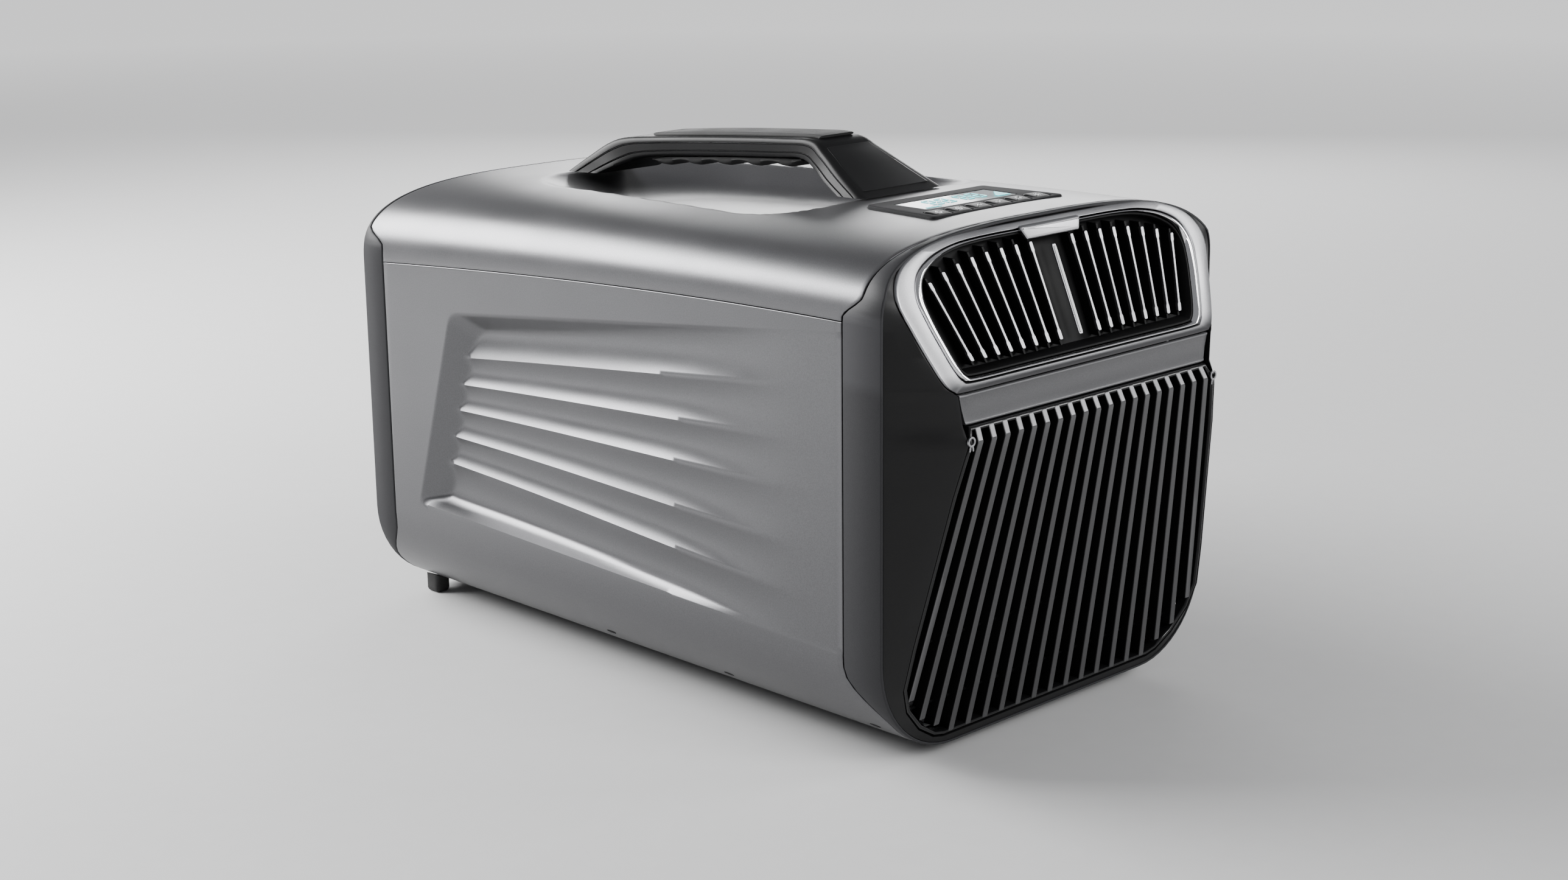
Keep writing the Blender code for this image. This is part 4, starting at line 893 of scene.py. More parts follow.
def louvre_x(index, z):
    share = (LOUVRE_TOP_Z - z) / (LOUVRE_TOP_Z - LOUVRE_LOW_Z)
    return index * mix(LOUVRE_TOP_PITCH, LOUVRE_LOW_PITCH, share)


def intake_cover():
    body = "intake_cover"
    outline = moved(whole(INTAKE_HALF), GAP)
    dense = []
    for i, point in enumerate(outline):
        after = outline[(i + 1) % len(outline)]
        count = max(2, int((Vector(after) - Vector(point)).length / 0.006))
        dense += [tuple(Vector(point).lerp(Vector(after), t)) for t in spread(0.0, 1.0, count)[:-1]]
    loops = []
    for inset, depth in ((0.0, 0.007), (0.0, 0.001), (0.0005, 0.0003), (0.0014, 0.0),
            (0.0022, 0.0003), (0.0028, 0.0012), (0.003, 0.007)):
        loops.append([(x, intake_y(z) + depth, z) for x, z in moved(dense, inset)])
    solid("intake_frame", loops, "black_plastic", ring=True, body=body, node="intake_grille",
        crease=40.0)
    slats, faces, tips = bmesh.new(), bmesh.new(), bmesh.new()
    middle = (LOUVRES - 1) // 2
    for index in range(-middle, middle + 1):
        levels = [LOUVRE_TOP_Z, 0.1995, NOSE_Z + 0.0005] + spread(NOSE_Z - 0.0005, LOUVRE_LOW_Z, 25)
        levels = [z for z in levels if abs(louvre_x(index, z)) < intake_border(z) - 0.004
            or z > NOSE_Z]
        path = [(louvre_x(index, z), z) for z in levels]
        # The louvres' flanks are the same grey plastic as their faces; they are coloured black as
        # painted shade between the louvres.
        bar(slats, path, [0.0021] * len(path), lambda z: intake_y(z) + 0.0008, 0.007)
        bar(faces, path, [0.0022] * len(path), intake_y, 0.001)
        # The upper facets get the lighter copy of the louvre finish as a painted highlight.
        path = [(louvre_x(index, z), z) for z in (LOUVRE_TOP_Z - 0.0003, 0.199, NOSE_Z + 0.0006)]
        bar(tips, path, [0.0017] * 3, lambda z: intake_y(z) - 0.0001, 0.0008)
    piece("intake_louvres", slats, "black_and_shade_plastic", body=body, node="intake_grille", crease=25.0)
    piece("intake_louvre_faces", faces, "louvre_plastic", body=body, node="intake_grille",
        crease=25.0, edge=0.0004, segments=3)
    piece("intake_louvre_tips", tips, "louvre_painted_highlight", body=body, node="intake_grille", edge=0.0002)
    for side, label in ((-1, "left"), (1, "right")):
        clip(side, label)
    ties = bmesh.new()
    for z in (0.16, 0.118, 0.076, 0.036):
        half = intake_border(z) - 0.003
        loops = []
        for x in spread(-half, half, 21):
            y = intake_y(z) + 0.0052
            loops.append([(x, y, z - 0.0008), (x, y, z + 0.0008), (x, y + 0.0022, z + 0.0008),
                (x, y + 0.0022, z - 0.0008)])
        closed_loft(ties, loops)
    piece("intake_cross_ties", ties, "black_plastic", body=body, node="intake_grille",
        edge=0.0002)


def clip(side, label):
    """A spring clip in an upper corner of the intake cover: a ring with two short legs."""
    centre = Vector((side * 0.1105, NOSE_Z + 0.0012))
    bm = bmesh.new()
    outline = [centre + Vector((math.cos(a), math.sin(a))) * 0.0024
        for a in spread(0.0, math.tau, 25)[:-1]]
    loops = []
    for point in outline:
        out = (point - centre).normalized() * 0.0006
        y = intake_y(NOSE_Z) - 0.0001
        a, b = point + out, point - out
        loops.append([(a.x, y, a.y), (a.x, y + 0.0012, a.y), (b.x, y + 0.0012, b.y), (b.x, y, b.y)])
    closed_loft(bm, loops, ring=True)
    for lean in (-0.0012, 0.0016):
        foot = centre + Vector((lean, -0.0056))
        top = centre + Vector((lean * 0.6, -0.002))
        bar(bm, [top, top.lerp(foot, 0.5), foot], (0.0005, 0.0006, 0.0004),
            lambda z: intake_y(NOSE_Z) + 0.0002, 0.0012)
    piece("intake_clip_" + label, bm, "satin_trim", body="intake_cover", node="intake_grille",
        edge=0.0002)


def outline_hit(direction, start, inset):
    """Where a ray from start meets the body's front cross-section, moved inwards by inset."""
    near, far = 0.0, 0.4
    for _ in range(30):
        middle = (near + far) / 2
        x, z = start + direction * middle
        if inside_body(abs(x), z, inset):
            near = middle
        else:
            far = middle
    return start + direction * near


def inside_body(x, z, inset):
    if x > HALF - inset:
        return False
    if z > SEAM_FRONT:
        return z < top_z(x, NOSE_Y, inset)
    if z < CORNER_Z and x > HALF - EDGE_RADIUS:
        return math.hypot(x - (HALF - EDGE_RADIUS), CORNER_Z - z) < EDGE_RADIUS - inset
    return z > FLOOR_CLEARANCE + inset


def nose_face(z):
    """The y of the nose pieces' outline at height z: outlet face, band, then intake."""
    band = outlet_y(BAND_TOP_Z)
    if z > BAND_TOP_Z:
        return outlet_y(z) + 0.0022 * smooth((z - BAND_TOP_Z) / 0.006)
    if z > BAND_LOW_Z:
        return mix(intake_y(BAND_LOW_Z), band, (z - BAND_LOW_Z) / (BAND_TOP_Z - BAND_LOW_Z))
    return intake_y(z)


def nose_facets():
    """The dark facets from the bezel to the nose pieces, ruled between the two outlines."""
    upper = [p for p in curved(RIM_OUTER, RIM_STEPS) if p.y > 0.2236]
    border = [Vector(p) for p in [(0.1146, BAND_TOP_Z), (0.112, BAND_LOW_Z)] + INTAKE_HALF[2:]]
    half = upper[:]
    for a, b in zip([upper[-1]] + border, border):
        count = max(2, int((b - a).length / 0.004))
        half += [a.lerp(b, t) for t in spread(0.0, 1.0, count + 1)[1:]]
    inner, outer = [], []
    for x, z in whole(half):
        hub = Vector((0.0, min(max(z, CORNER_Z), 0.25)))
        away = (Vector((x, z)) - hub).normalized()
        inner.append((x, z))
        outer.append(tuple(outline_hit(away, hub, 0.0017)))
    inner = moved(inner, -GAP)
    loops = []
    for share, depth in ((0.0, 0.004), (0.0, 0.0012), (0.03, 0.0006), (0.5, 0.0003),
            (0.96, 0.0002), (1.0, 0.0006), (1.0, 0.004)):
        loop = []
        for (xo, zo), (xi, zi) in zip(outer, inner):
            y = mix(bezel_front(zo), nose_face(zi), share)
            loop.append((mix(xo, xi, share), y + depth, mix(zo, zi, share)))
        loops.append(loop)
    solid("nose_facet_panel", loops, "facet_plastic", ring=True, node="front_panel", crease=28.0)


# ---------------------------------------------------------------- control panel
PANEL_FRONT_Y, PANEL_REAR_Y = -0.183, -0.123
PANEL_FRONT_HALF, PANEL_REAR_HALF = 0.0585, 0.052
PANEL_TOP_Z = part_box("control_panel_bezel")[1].z
KEYS = 6
KEY_FALL = 0.1                     # how far a key's face falls for each metre forward
ICON_THICK = 0.0003


def panel_corners(grow):
    return [(-PANEL_FRONT_HALF - grow, PANEL_FRONT_Y - grow), (PANEL_FRONT_HALF + grow,
        PANEL_FRONT_Y - grow), (PANEL_REAR_HALF + grow, PANEL_REAR_Y + grow),
        (-PANEL_REAR_HALF - grow, PANEL_REAR_Y + grow)]


def rectangle(low, high):
    return [(low[0], low[1]), (high[0], low[1]), (high[0], high[1]), (low[0], high[1])]


def stacked(outline, profile):
    """Loops of an x, y outline: each step of the profile is an inset and a height."""
    return [[(x, y, z) for x, y in moved(outline, -inset)] for inset, z in profile]


def control_panel():
    outline = rounded_corners(panel_corners(0.0), 0.0042, 7)
    top = PANEL_TOP_Z
    bm = bmesh.new()
    closed_loft(bm, stacked(outline, [(0.0, top - 0.004), (0.0, top - 0.0008),
        (0.0003, top - 0.0002), (0.0008, top)]))
    panel = piece("control_panel", bm, "panel_plastic", node="control_panel_bezel", crease=35.0)
    openings = bmesh.new()
    lens_low, lens_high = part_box("display_lens")
    window = rounded_corners(rectangle(lens_low - Vector((GAP,) * 3),
        lens_high + Vector((GAP,) * 3)), 0.001, 4)
    closed_loft(openings, [[(x, y, z) for x, y in window] for z in (top - 0.006, top + 0.006)])
    for index in range(KEYS):
        low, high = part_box("control_button_%d" % (index + 1))
        well = rounded_corners(rectangle(low - Vector((GAP,) * 3), high + Vector((GAP,) * 3)),
            0.004, 7)
        closed_loft(openings, [[(x, y, z) for x, y in well] for z in (top - 0.006, top + 0.006)])
    cut(panel, openings)
    lens = bmesh.new()
    window = rounded_corners(rectangle(lens_low, lens_high), 0.0008, 4)
    closed_loft(lens, stacked(window, [(0.0, lens_low.z), (0.0, lens_high.z - 0.0004),
        (0.0003, lens_high.z - 0.0001), (0.0006, lens_high.z)]))
    piece("display_glass", lens, "display", node="display_lens", crease=35.0)
    for index in range(KEYS):
        key(index)
    display_marks(lens_low, lens_high)


def key(index):
    """A domed key that falls a little towards the front, and its icon."""
    name = "control_button_%d" % (index + 1)
    body = "button_%d" % (index + 1)
    low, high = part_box(name)
    outline = rounded_corners(rectangle(low, high), 0.0038, 8)
    bm, icon = bmesh.new(), bmesh.new()
    dome = [(0.0, low.z), (0.0, high.z - 0.001), (0.0004, high.z - 0.0006),
        (0.001, high.z - 0.0003), (0.0018, high.z - 0.0001), (0.0034, high.z)]
    closed_loft(bm, stacked(outline, dome))
    centre = (low + high) / 2
    ICONS[index](icon, centre.x, centre.y, high.z - 0.00025)
    for mesh in (bm, icon):
        for vert in mesh.verts:
            if vert.co.z > low.z:
                vert.co.z -= KEY_FALL * (high.y - vert.co.y)
    piece("key_%d" % (index + 1), bm, "key_plastic", body=body, node=name, crease=35.0)
    piece("key_icon_%d" % (index + 1), icon, "key_icon", body=body)


def stroke(bm, points, width, z, closed=False):
    """A raised stroke of constant width along x, y points."""
    points = [Vector(p) for p in points]
    count = len(points)
    rows = []
    for i in range(count):
        before = points[i - 1] if closed or i > 0 else points[i]
        after = points[(i + 1) % count] if closed or i < count - 1 else points[i]
        heading = (after - before).normalized()
        side = Vector((-heading.y, heading.x)) * width / 2
        a, b = points[i] + side, points[i] - side
        rows.append([(a.x, a.y, z), (a.x, a.y, z + ICON_THICK), (b.x, b.y, z + ICON_THICK),
            (b.x, b.y, z)])
    closed_loft(bm, rows, ring=closed)


def arc_points(x, y, radius, start, end, count=14):
    return [(x + radius * math.cos(math.radians(a)), y + radius * math.sin(math.radians(a)))
        for a in spread(start, end, count)]


def icon_power(bm, x, y, z):
    stroke(bm, arc_points(x, y, 0.0019, 125, 415), 0.00055, z)
    stroke(bm, [(x, y + 0.0006), (x, y + 0.0026)], 0.00055, z)


def icon_mode(bm, x, y, z):
    stroke(bm, arc_points(x, y, 0.0019, 0, 346, 18), 0.00055, z, closed=True)
    stroke(bm, [(x - 0.0007, y), (x + 0.0007, y)], 0.0008, z)


def icon_up(bm, x, y, z):
    stroke(bm, [(x - 0.0019, y - 0.0008), (x, y + 0.0011), (x + 0.0019, y - 0.0008)], 0.0006, z)


def icon_down(bm, x, y, z):
    stroke(bm, [(x - 0.0019, y + 0.0008), (x, y - 0.0011), (x + 0.0019, y + 0.0008)], 0.0006, z)


def icon_fan(bm, x, y, z):
    for turn in (90, 210, 330):
        a = math.radians(turn)
        centre = (x + 0.0011 * math.cos(a), y + 0.0011 * math.sin(a))
        stroke(bm, arc_points(*centre, 0.0009, turn - 100, turn + 100, 9), 0.0005, z)


def icon_light(bm, x, y, z):
    stroke(bm, arc_points(x, y, 0.001, 0, 340, 12), 0.0005, z, closed=True)
    for turn in range(0, 360, 60):
        ray = Vector((math.cos(math.radians(turn)), math.sin(math.radians(turn))))
        stroke(bm, [Vector((x, y)) + ray * 0.0016, Vector((x, y)) + ray * 0.0024], 0.0004, z)


ICONS = [icon_power, icon_mode, icon_up, icon_down, icon_fan, icon_light]


def display_marks(low, high):
    """Plain seven-bar digits and level bars on the display, and a painted glare on one corner of
    the glass.
    """
    z = high.z + 0.00005
    bm = bmesh.new()
    for x in (-0.019, -0.008, 0.008, 0.019):
        y = (low.y + high.y) / 2 + 0.0016
        for dx, dy, flat in ((0, 0.0068, 1), (0, 0, 1), (0, -0.0068, 1), (-0.0032, 0.0034, 0),
                (0.0032, 0.0034, 0), (-0.0032, -0.0034, 0), (0.0032, -0.0034, 0)):
            reach = 0.0024 if flat else 0.0026
            ends = ((reach, 0) if flat else (0, reach))
            stroke(bm, [(x + dx - ends[0], y + dy - ends[1]), (x + dx + ends[0], y + dy + ends[1])],
                0.0011, z)
    for index in range(7):
        x = 0.027 + 0.0016 * index
        stroke(bm, [(x, low.y + 0.003), (x, low.y + 0.006 + 0.0016 * index)], 0.001, z)
    for index in range(8):
        x = -0.036 + 0.0016 * index
        stroke(bm, [(x, low.y + 0.003), (x, low.y + 0.005)], 0.001, z)
    piece("display_segments", bm, "segment_cyan")
    # A light grey triangle on the glass's corner: a painted glare.
    glare = bmesh.new()
    outline = [(low.x + 0.0008, high.y - 0.0008), (low.x + 0.0008, low.y + 0.002),
        (low.x + 0.05, high.y - 0.0008)]
    closed_loft(glare, [[(x, y, h) for x, y in outline] for h in (high.z - 0.0002,
        high.z + 0.00003)])
    piece("display_painted_glare_corner", glare, "glass_glare")


# ---------------------------------------------------------------- handle
# Stations along the handle: outer line y, z; inner line y, z; half width.
HANDLE_STATIONS = [
    ((-0.105, 0.3044), (-0.082, 0.304), 0.036), ((-0.084, 0.3152), (-0.066, 0.31), 0.031),
    ((-0.062, 0.3272), (-0.051, 0.3165), 0.025), ((-0.048, 0.3336), (-0.038, 0.3205), 0.022),
    ((-0.02, 0.3325), (-0.014, 0.319), 0.0205), ((0.04, 0.328), (0.04, 0.3148), 0.02),
    ((0.1, 0.3228), (0.09, 0.3102), 0.0205), ((0.13, 0.3195), (0.112, 0.307), 0.0215),
    ((0.146, 0.3145), (0.125, 0.303), 0.023), ((0.164, 0.304), (0.137, 0.2985), 0.026),
    ((0.183, 0.2926), (0.147, 0.2945), 0.028)]


def handle_path(steps):
    """Stations (outer y, outer z, inner y, inner z, half width), eased between the given ones."""
    flat = [list(outer) + list(inner) + [half] for outer, inner, half in HANDLE_STATIONS]
    flat = [flat[0]] + flat + [flat[-1]]
    path = []
    for i in range(1, len(flat) - 2):
        for t in spread(0.0, 1.0, steps + 1)[:-1]:
            path.append([spline(*knots, t) for knots in zip(*flat[i - 1:i + 3])])
    return path + [flat[-1]]


HANDLE_SECTION = [(-0.0045, 0.0), (-0.0014, 0.03), (-0.0002, 0.1), (0.0, 0.16), (0.0, 0.26),
    (-0.0007, 0.28), (-0.0007, 0.32), (0.0, 0.34), (0.0, 0.65), (-0.0008, 0.67), (-0.0008, 0.71),
    (0.0, 0.73), (-0.0001, 0.86), (-0.001, 0.94), (-0.0026, 0.985), (-0.005, 1.0)]


def handle_point(station, x, share, proud=0.0):
    outer, inner = Vector(station[0:2]), Vector(station[2:4])
    spot = inner.lerp(outer, share) + (outer - inner).normalized() * proud
    return x, spot.x, spot.y


def swept(name, stations, section, slot, node, crease=40.0, **extra):
    """A solid along the handle; for a station, the section gives x, shares of height and rises."""
    solid(name, [[handle_point(s, *point) for point in section(s)] for s in stations], slot,
        node=node, crease=crease, **extra)


GRIP_START_Y, GRIP_END_Y = -0.034, 0.106
FINGER_WAVES = 5
PAD_SPAN = (-0.05, 0.108)
PLATE_SPAN = (-0.101, -0.058)


def handle():
    path = handle_path(8)

    def body_section(station):
        half = station[4]
        right = [(half + dx, share, 0.0) for dx, share in HANDLE_SECTION]
        return right + [(-x, share, rise) for x, share, rise in reversed(right)]

    swept("handle_moulding", path, body_section, "handle_plastic", "handle_body")
    for side, label in ((-1, "left"), (1, "right")):
        for share, width, level in ((0.69, 0.0007, "upper"), (0.3, 0.0004, "lower")):
            def rail(station, side=side, share=share, width=width):
                x = side * (station[4] - 0.0004)
                tall = width / 2 / (Vector(station[0:2]) - Vector(station[2:4])).length
                return [(x - side * 0.001, share - tall, 0.0), (x, share - tall * 0.8, 0.0),
                    (x + side * 0.0004, share, 0.0), (x, share + tall * 0.8, 0.0),
                    (x - side * 0.001, share + tall, 0.0)]
            swept("handle_rail_%s_%s" % (label, level), path[2:-3], rail, "satin_trim",
                "handle_body")
    pad = [s for s in path if PAD_SPAN[0] <= s[0] <= PAD_SPAN[1]]

    def pad_section(_):
        return [(-0.015, 1.0, 0.0002), (-0.015, 1.0, 0.0012), (-0.0142, 1.0, 0.002),
            (-0.012, 1.0, 0.0024), (0.012, 1.0, 0.0024), (0.0142, 1.0, 0.002),
            (0.015, 1.0, 0.0012), (0.015, 1.0, 0.0002)]

    swept("handle_pad", pad, pad_section, "rubber", "handle_top_pad")
    plate = [s for s in path if PLATE_SPAN[0] <= s[0] <= PLATE_SPAN[1]]

    def plate_section(station):
        half = station[4] - 0.0052
        return [(-half, 1.0, -0.0004), (-half + 0.0004, 1.0, 0.0003), (-half + 0.0014, 1.0, 0.0005),
            (half - 0.0014, 1.0, 0.0005), (half - 0.0004, 1.0, 0.0003), (half, 1.0, -0.0004)]

    swept("handle_front_plate", plate, plate_section, "facet_plastic", "handle_body", edge=0.0003)
    grip = bmesh.new()
    start, end = GRIP_START_Y, GRIP_END_Y
    loops = []
    for y in spread(start, end, 90):
        under = handle_under(y) - 0.0004
        ends = smooth((y - start) / 0.006) * smooth((end - y) / 0.006)
        depth = mix(0.0018,
            0.0045 - 0.0012 * math.cos((y - start) / (end - start) * math.tau * FINGER_WAVES), ends)
        loops.append([(-0.0165, y, under), (-0.0168, y, under - depth * 0.45),
            (-0.015, y, under - depth * 0.85), (-0.011, y, under - depth),
            (0.011, y, under - depth), (0.015, y, under - depth * 0.85),
            (0.0168, y, under - depth * 0.45), (0.0165, y, under)])
    closed_loft(grip, loops)
    piece("handle_grip_rubber", grip, "rubber", node="handle_grip", crease=50.0)


def handle_under(y):
    line = [station[1] for station in HANDLE_STATIONS]
    for (y0, z0), (y1, z1) in zip(line, line[1:]):
        if y0 <= y <= y1:
            return mix(z0, z1, (y - y0) / (y1 - y0))
    return line[0][1]


# ---------------------------------------------------------------- rear and underside
def upright(low, high, radius, grow=0.0):
    """A rounded rectangle in x and z from a box's corners."""
    corners = rectangle((low.x - grow, low.z - grow), (high.x + grow, high.z + grow))
    return rounded_corners(corners, radius, 6)


def faced(outline, profile, sign=-1):
    """Loops of an x, z outline: each step of the profile is an inset and a y."""
    return [[(x, y, z) for x, z in moved(outline, sign * inset)] for inset, y in profile]


def rear_panel():
    reach = WALL + GAP
    outline = [(x, z) for x, z, _ in body_outline(REAR_FACE_Y, reach)]
    y = REAR_FACE_Y - 0.001
    profile = [(0.0, y - 0.004), (0.0, y - 0.0008), (0.0003, y - 0.0002), (0.0008, y), (0.005, y),
        (0.0055, y - 0.0006), (0.0065, y - 0.0006), (0.007, y), (0.011, y)]
    panel = solid("rear_panel_plate", faced(outline, profile, 1), "charcoal_plastic",
        node="rear_panel", crease=35.0)
    openings = bmesh.new()
    for name in ("rear_exhaust_grille", "rear_intake_grille", "port_cover"):
        hole = upright(*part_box(name), 0.0034 if name == "port_cover" else 0.0064, GAP)
        closed_loft(openings, faced(hole, [(0.0, y - 0.01), (0.0, y + 0.01)]))
    cut(panel, openings)


def rear_grille(name, body, rows):
    """A vent cover: a rounded frame, slanted blades and three upright ribs."""
    low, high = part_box(name)
    front, back = high.y, low.y
    rim = upright(low, high, 0.006)
    frame_bm = bmesh.new()
    profile = [(0.0, back), (0.0, front - 0.0014), (0.0005, front - 0.0004), (0.0014, front),
        (0.0042, front), (0.005, front - 0.0006), (0.0052, front - 0.002), (0.0052, back)]
    closed_loft(frame_bm, faced(rim, profile), ring=True)
    piece(name + "_frame", frame_bm, "charcoal_plastic", body=body, node=name, crease=35.0)
    blades, ribs = bmesh.new(), bmesh.new()
    pitch = (high.z - low.z - 0.0104) / rows
    for row in range(rows + 1):
        z = low.z + 0.0052 + pitch * row
        section = [(front - 0.0018, z - 0.0013), (front - 0.0012, z - 0.0006),
            (back + 0.002, z + 0.0034), (back + 0.0014, z + 0.0026)]
        section = [(y, min(max(h, low.z + 0.0046), high.z - 0.0046)) for y, h in section]
        if 0 < row < rows:
            loops = [[(x, y, h) for y, h in section] for x in spread(low.x + 0.0048,
                high.x - 0.0048, 9)]
            closed_loft(blades, loops)
    for x, half in ((0.0, 0.003), (-0.05, 0.0011), (0.05, 0.0011)):
        loops = []
        for z in spread(low.z + 0.0048, high.z - 0.0048, 9):
            loops.append([(x - half, back + 0.0006, z), (x - half, front - 0.0012, z),
                (x - half * 0.7, front - 0.0006, z), (x + half * 0.7, front - 0.0006, z),
                (x + half, front - 0.0012, z), (x + half, back + 0.0006, z)])
        closed_loft(ribs, loops)
    piece(name + "_blades", blades, "black_plastic", body=body, node=name, edge=0.0002)
    piece(name + "_ribs", ribs, "charcoal_plastic", body=body, node=name, crease=35.0)


def port_bay():
    low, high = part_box("port_cover")
    y = high.y
    bm = bmesh.new()
    profile = [(0.0, low.y), (0.0, y - 0.001), (0.0004, y - 0.0003), (0.001, y), (0.0016, y),
        (0.002, y - 0.0006), (0.0026, y - 0.0006)]
    closed_loft(bm, faced(upright(low, high, 0.003), profile))
    for x in spread(0.018, 0.046, 8):
        loops = []
        for z in spread(high.z - 0.01, high.z - 0.0045, 5):
            loops.append([(x - 0.001, y - 0.0009, z), (x - 0.0006, y, z), (x + 0.0006, y, z),
                (x + 0.001, y - 0.0009, z)])
        closed_loft(bm, loops)
    piece("port_flap_rubber", bm, "rubber", body="port_flap", node="port_cover", crease=35.0)
    low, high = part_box("power_inlet")
    housing = bmesh.new()
    profile = [(0.0, low.y), (0.0, high.y - 0.0008), (0.0006, high.y), (0.003, high.y),
        (0.0036, high.y - 0.0006), (0.0036, 0.2302)]
    closed_loft(housing, faced(upright(low, high, 0.0044), profile))
    piece("inlet_housing", housing, "black_plastic", node="power_inlet", crease=35.0)
    pins = bmesh.new()
    middle = (low + high) / 2
    for dx, dz in ((-0.007, -0.0016), (0.0, 0.0024), (0.007, -0.0016)):
        x, z = middle.x + dx, middle.z + dz
        loops = []
        for y, shrink in ((0.23, 1.0), (0.243, 1.0), (0.2442, 0.6)):
            a, b = 0.001 * shrink, 0.0022 * shrink
            loops.append(across_y(y, x, z, a, b))
        closed_loft(pins, loops)
    piece("inlet_pins", pins, "steel", node="power_inlet", edge=0.0002)


def screw(name):
    """A domed screw head with a cross recess, facing the rear."""
    low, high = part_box(name)
    centre = (low + high) / 2
    radius = (high.x - low.x) / 2
    turns = [math.radians(7.5 * k) for k in range(48)]

    def ring(reach, y):
        return [(centre.x + r * math.cos(a), y, centre.z + r * math.sin(a)) for r,
            a in zip(reach, turns)]

    arms = [0.0021 if min(k % 12, 12 - k % 12) <= 1 else 0.0008 for k in range(48)]
    steps = [([radius] * 48, low.y), ([radius] * 48, low.y + 0.0008),
        ([radius * 0.88] * 48, high.y - 0.0004), ([radius * 0.7] * 48, high.y), (arms, high.y),
        ([0.8 * r for r in arms], high.y - 0.0012)]
    solid(name + "_head", [ring(*step) for step in steps], "steel", node=name, crease=35.0)


def under_edge_z(x):
    """Height of the rounded lower long edge above x."""
    reach = max(abs(x) - (HALF - EDGE_RADIUS), 0.0)
    return CORNER_Z - math.sqrt(EDGE_RADIUS ** 2 - reach ** 2)


def foot(name, radius):
    """A rubber foot with a rounded tread, its top following the body above it."""
    low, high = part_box(name)
    outline = rounded_corners(rectangle(low, high), radius, 6)
    loops = []
    for inset, z in ((0.003, 0.0), (0.0014, 0.0004), (0.0005, 0.0012), (0.0, 0.0026),
            (0.0, 0.0048)):
        loops.append([(x, y, z) for x, y in moved(outline, -inset)])
    loops.append([(x, y, under_edge_z(x) - 0.001) for x, y in outline])
    bm = bmesh.new()
    closed_loft(bm, loops)
    for turn in (0.0012, -0.0012, -0.0036, 0.0036):
        y = (low.y + high.y) / 2 + turn
        rib = [[(x, y - 0.0005, z), (x, y + 0.0005, z), (x, y + 0.0005, z + 0.0012),
            (x, y - 0.0005, z + 0.0012)] for x, z in ((low.x + 0.0036, 0.0),
            (high.x - 0.0036, 0.0))]
        closed_loft(bm, rib)
    piece(name + "_rubber", bm, "rubber", node=name, crease=40.0)


def drain_plug():
    low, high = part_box("drain_plug")
    centre = (low + high) / 2
    radius = (high.x - low.x) / 2
    loops = []
    for share, z, ripple in ((1.0, high.z, 0.0), (1.0, low.z + 0.0012, 0.0),
            (0.97, low.z + 0.0003, 0.03), (0.86, low.z, 0.0), (0.6, low.z, 0.0),
            (0.54, low.z + 0.0014, 0.0)):
        loop = []
        for k in range(72):
            a = math.tau * k / 72
            reach = radius * (share - ripple * (k % 3 == 0))
            loop.append((centre.x + reach * math.cos(a), centre.y + reach * math.sin(a), z))
        loops.append(loop)
    bm = bmesh.new()
    closed_loft(bm, loops)
    grip = rounded_corners(rectangle((centre.x - 0.0042, centre.y - 0.001),
        (centre.x + 0.0042, centre.y + 0.001)), 0.0008, 4)
    closed_loft(bm, stacked(grip, [(0.0, low.z + 0.0016), (0.0, low.z + 0.0004), (0.0004, low.z)]))
    piece("drain_plug_cap", bm, "rubber", body="drain_stopper", node="drain_plug", crease=35.0)


def base_pan():
    low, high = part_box("base_pan")
    rows = []
    for y in spread(low.y, high.y, 120):
        row = []
        for x in spread(low.x, high.x, 56):
            edge = min(x - low.x, high.x - x, y - low.y, high.y - y)
            rib = 0.5 + 0.5 * math.cos((y - 0.012) * math.tau / 0.052)
            pressed = smooth((edge - 0.01) / 0.006) * (1 - smooth((rib - 0.82) / 0.1))
            row.append(Vector((x, y, low.z + 0.001 * pressed)))
        rows.append(row)
    bm = bmesh.new()
    shell(bm, rows, -1, 0.0018, 0.0004)
    piece("base_pan_pressing", bm, "charcoal_plastic", node="base_pan", crease=40.0)


def side_notches():
    """Small drain slots low on both long edges, drawn as dark patches on the skin: painted shade in
    place of openings.
    """
    bm = bmesh.new()
    for side in (-1, 1):
        for y, z in ((0.027, 0.0236), (-0.0805, 0.022), (-0.202, 0.021)):
            turn = math.asin((CORNER_Z - z) / EDGE_RADIUS)
            loops = []
            for reach, proud in ((1.0, -0.0006), (1.0, 0.00015), (0.7, 0.00025)):
                loop = []
                for k in range(20):
                    a = math.tau * k / 20
                    swing = turn + 0.0016 * reach * math.sin(a) / EDGE_RADIUS
                    far = EDGE_RADIUS + proud
                    loop.append((side * (HALF - EDGE_RADIUS + far * math.cos(swing)),
                        y + 0.0042 * reach * math.cos(a), CORNER_Z - far * math.sin(swing)))
                loops.append(loop)
            closed_loft(bm, loops)
    piece("side_drain_slots", bm, "black_and_shade_plastic", crease=40.0)


# ---------------------------------------------------------------- carried-over nodes
NODE_FINISH = {
    "intake_filter": "filter_mesh", "control_board": "circuit_board",
    "evaporator_coil": "coil_fins", "condensate_tray": "white_plastic",
    "outlet_duct": "black_plastic", "evaporator_scroll": "white_plastic",
    "evaporator_fan_wheel": "black_plastic", "evaporator_fan_motor": "steel",
    "divider_wall": "foam", "compressor": "compressor_enamel", "compressor_mount": "rubber",
    "accumulator": "compressor_enamel", "condenser_coil": "coil_fins",
    "condenser_fan_shroud": "charcoal_plastic", "condenser_fan_wheel": "black_plastic",
    "condenser_fan_motor": "steel", "inverter_board": "circuit_board",
    "inverter_heatsink": "coil_fins", "suction_pipe": "copper", "discharge_pipe": "copper",
    "liquid_line": "copper",
}


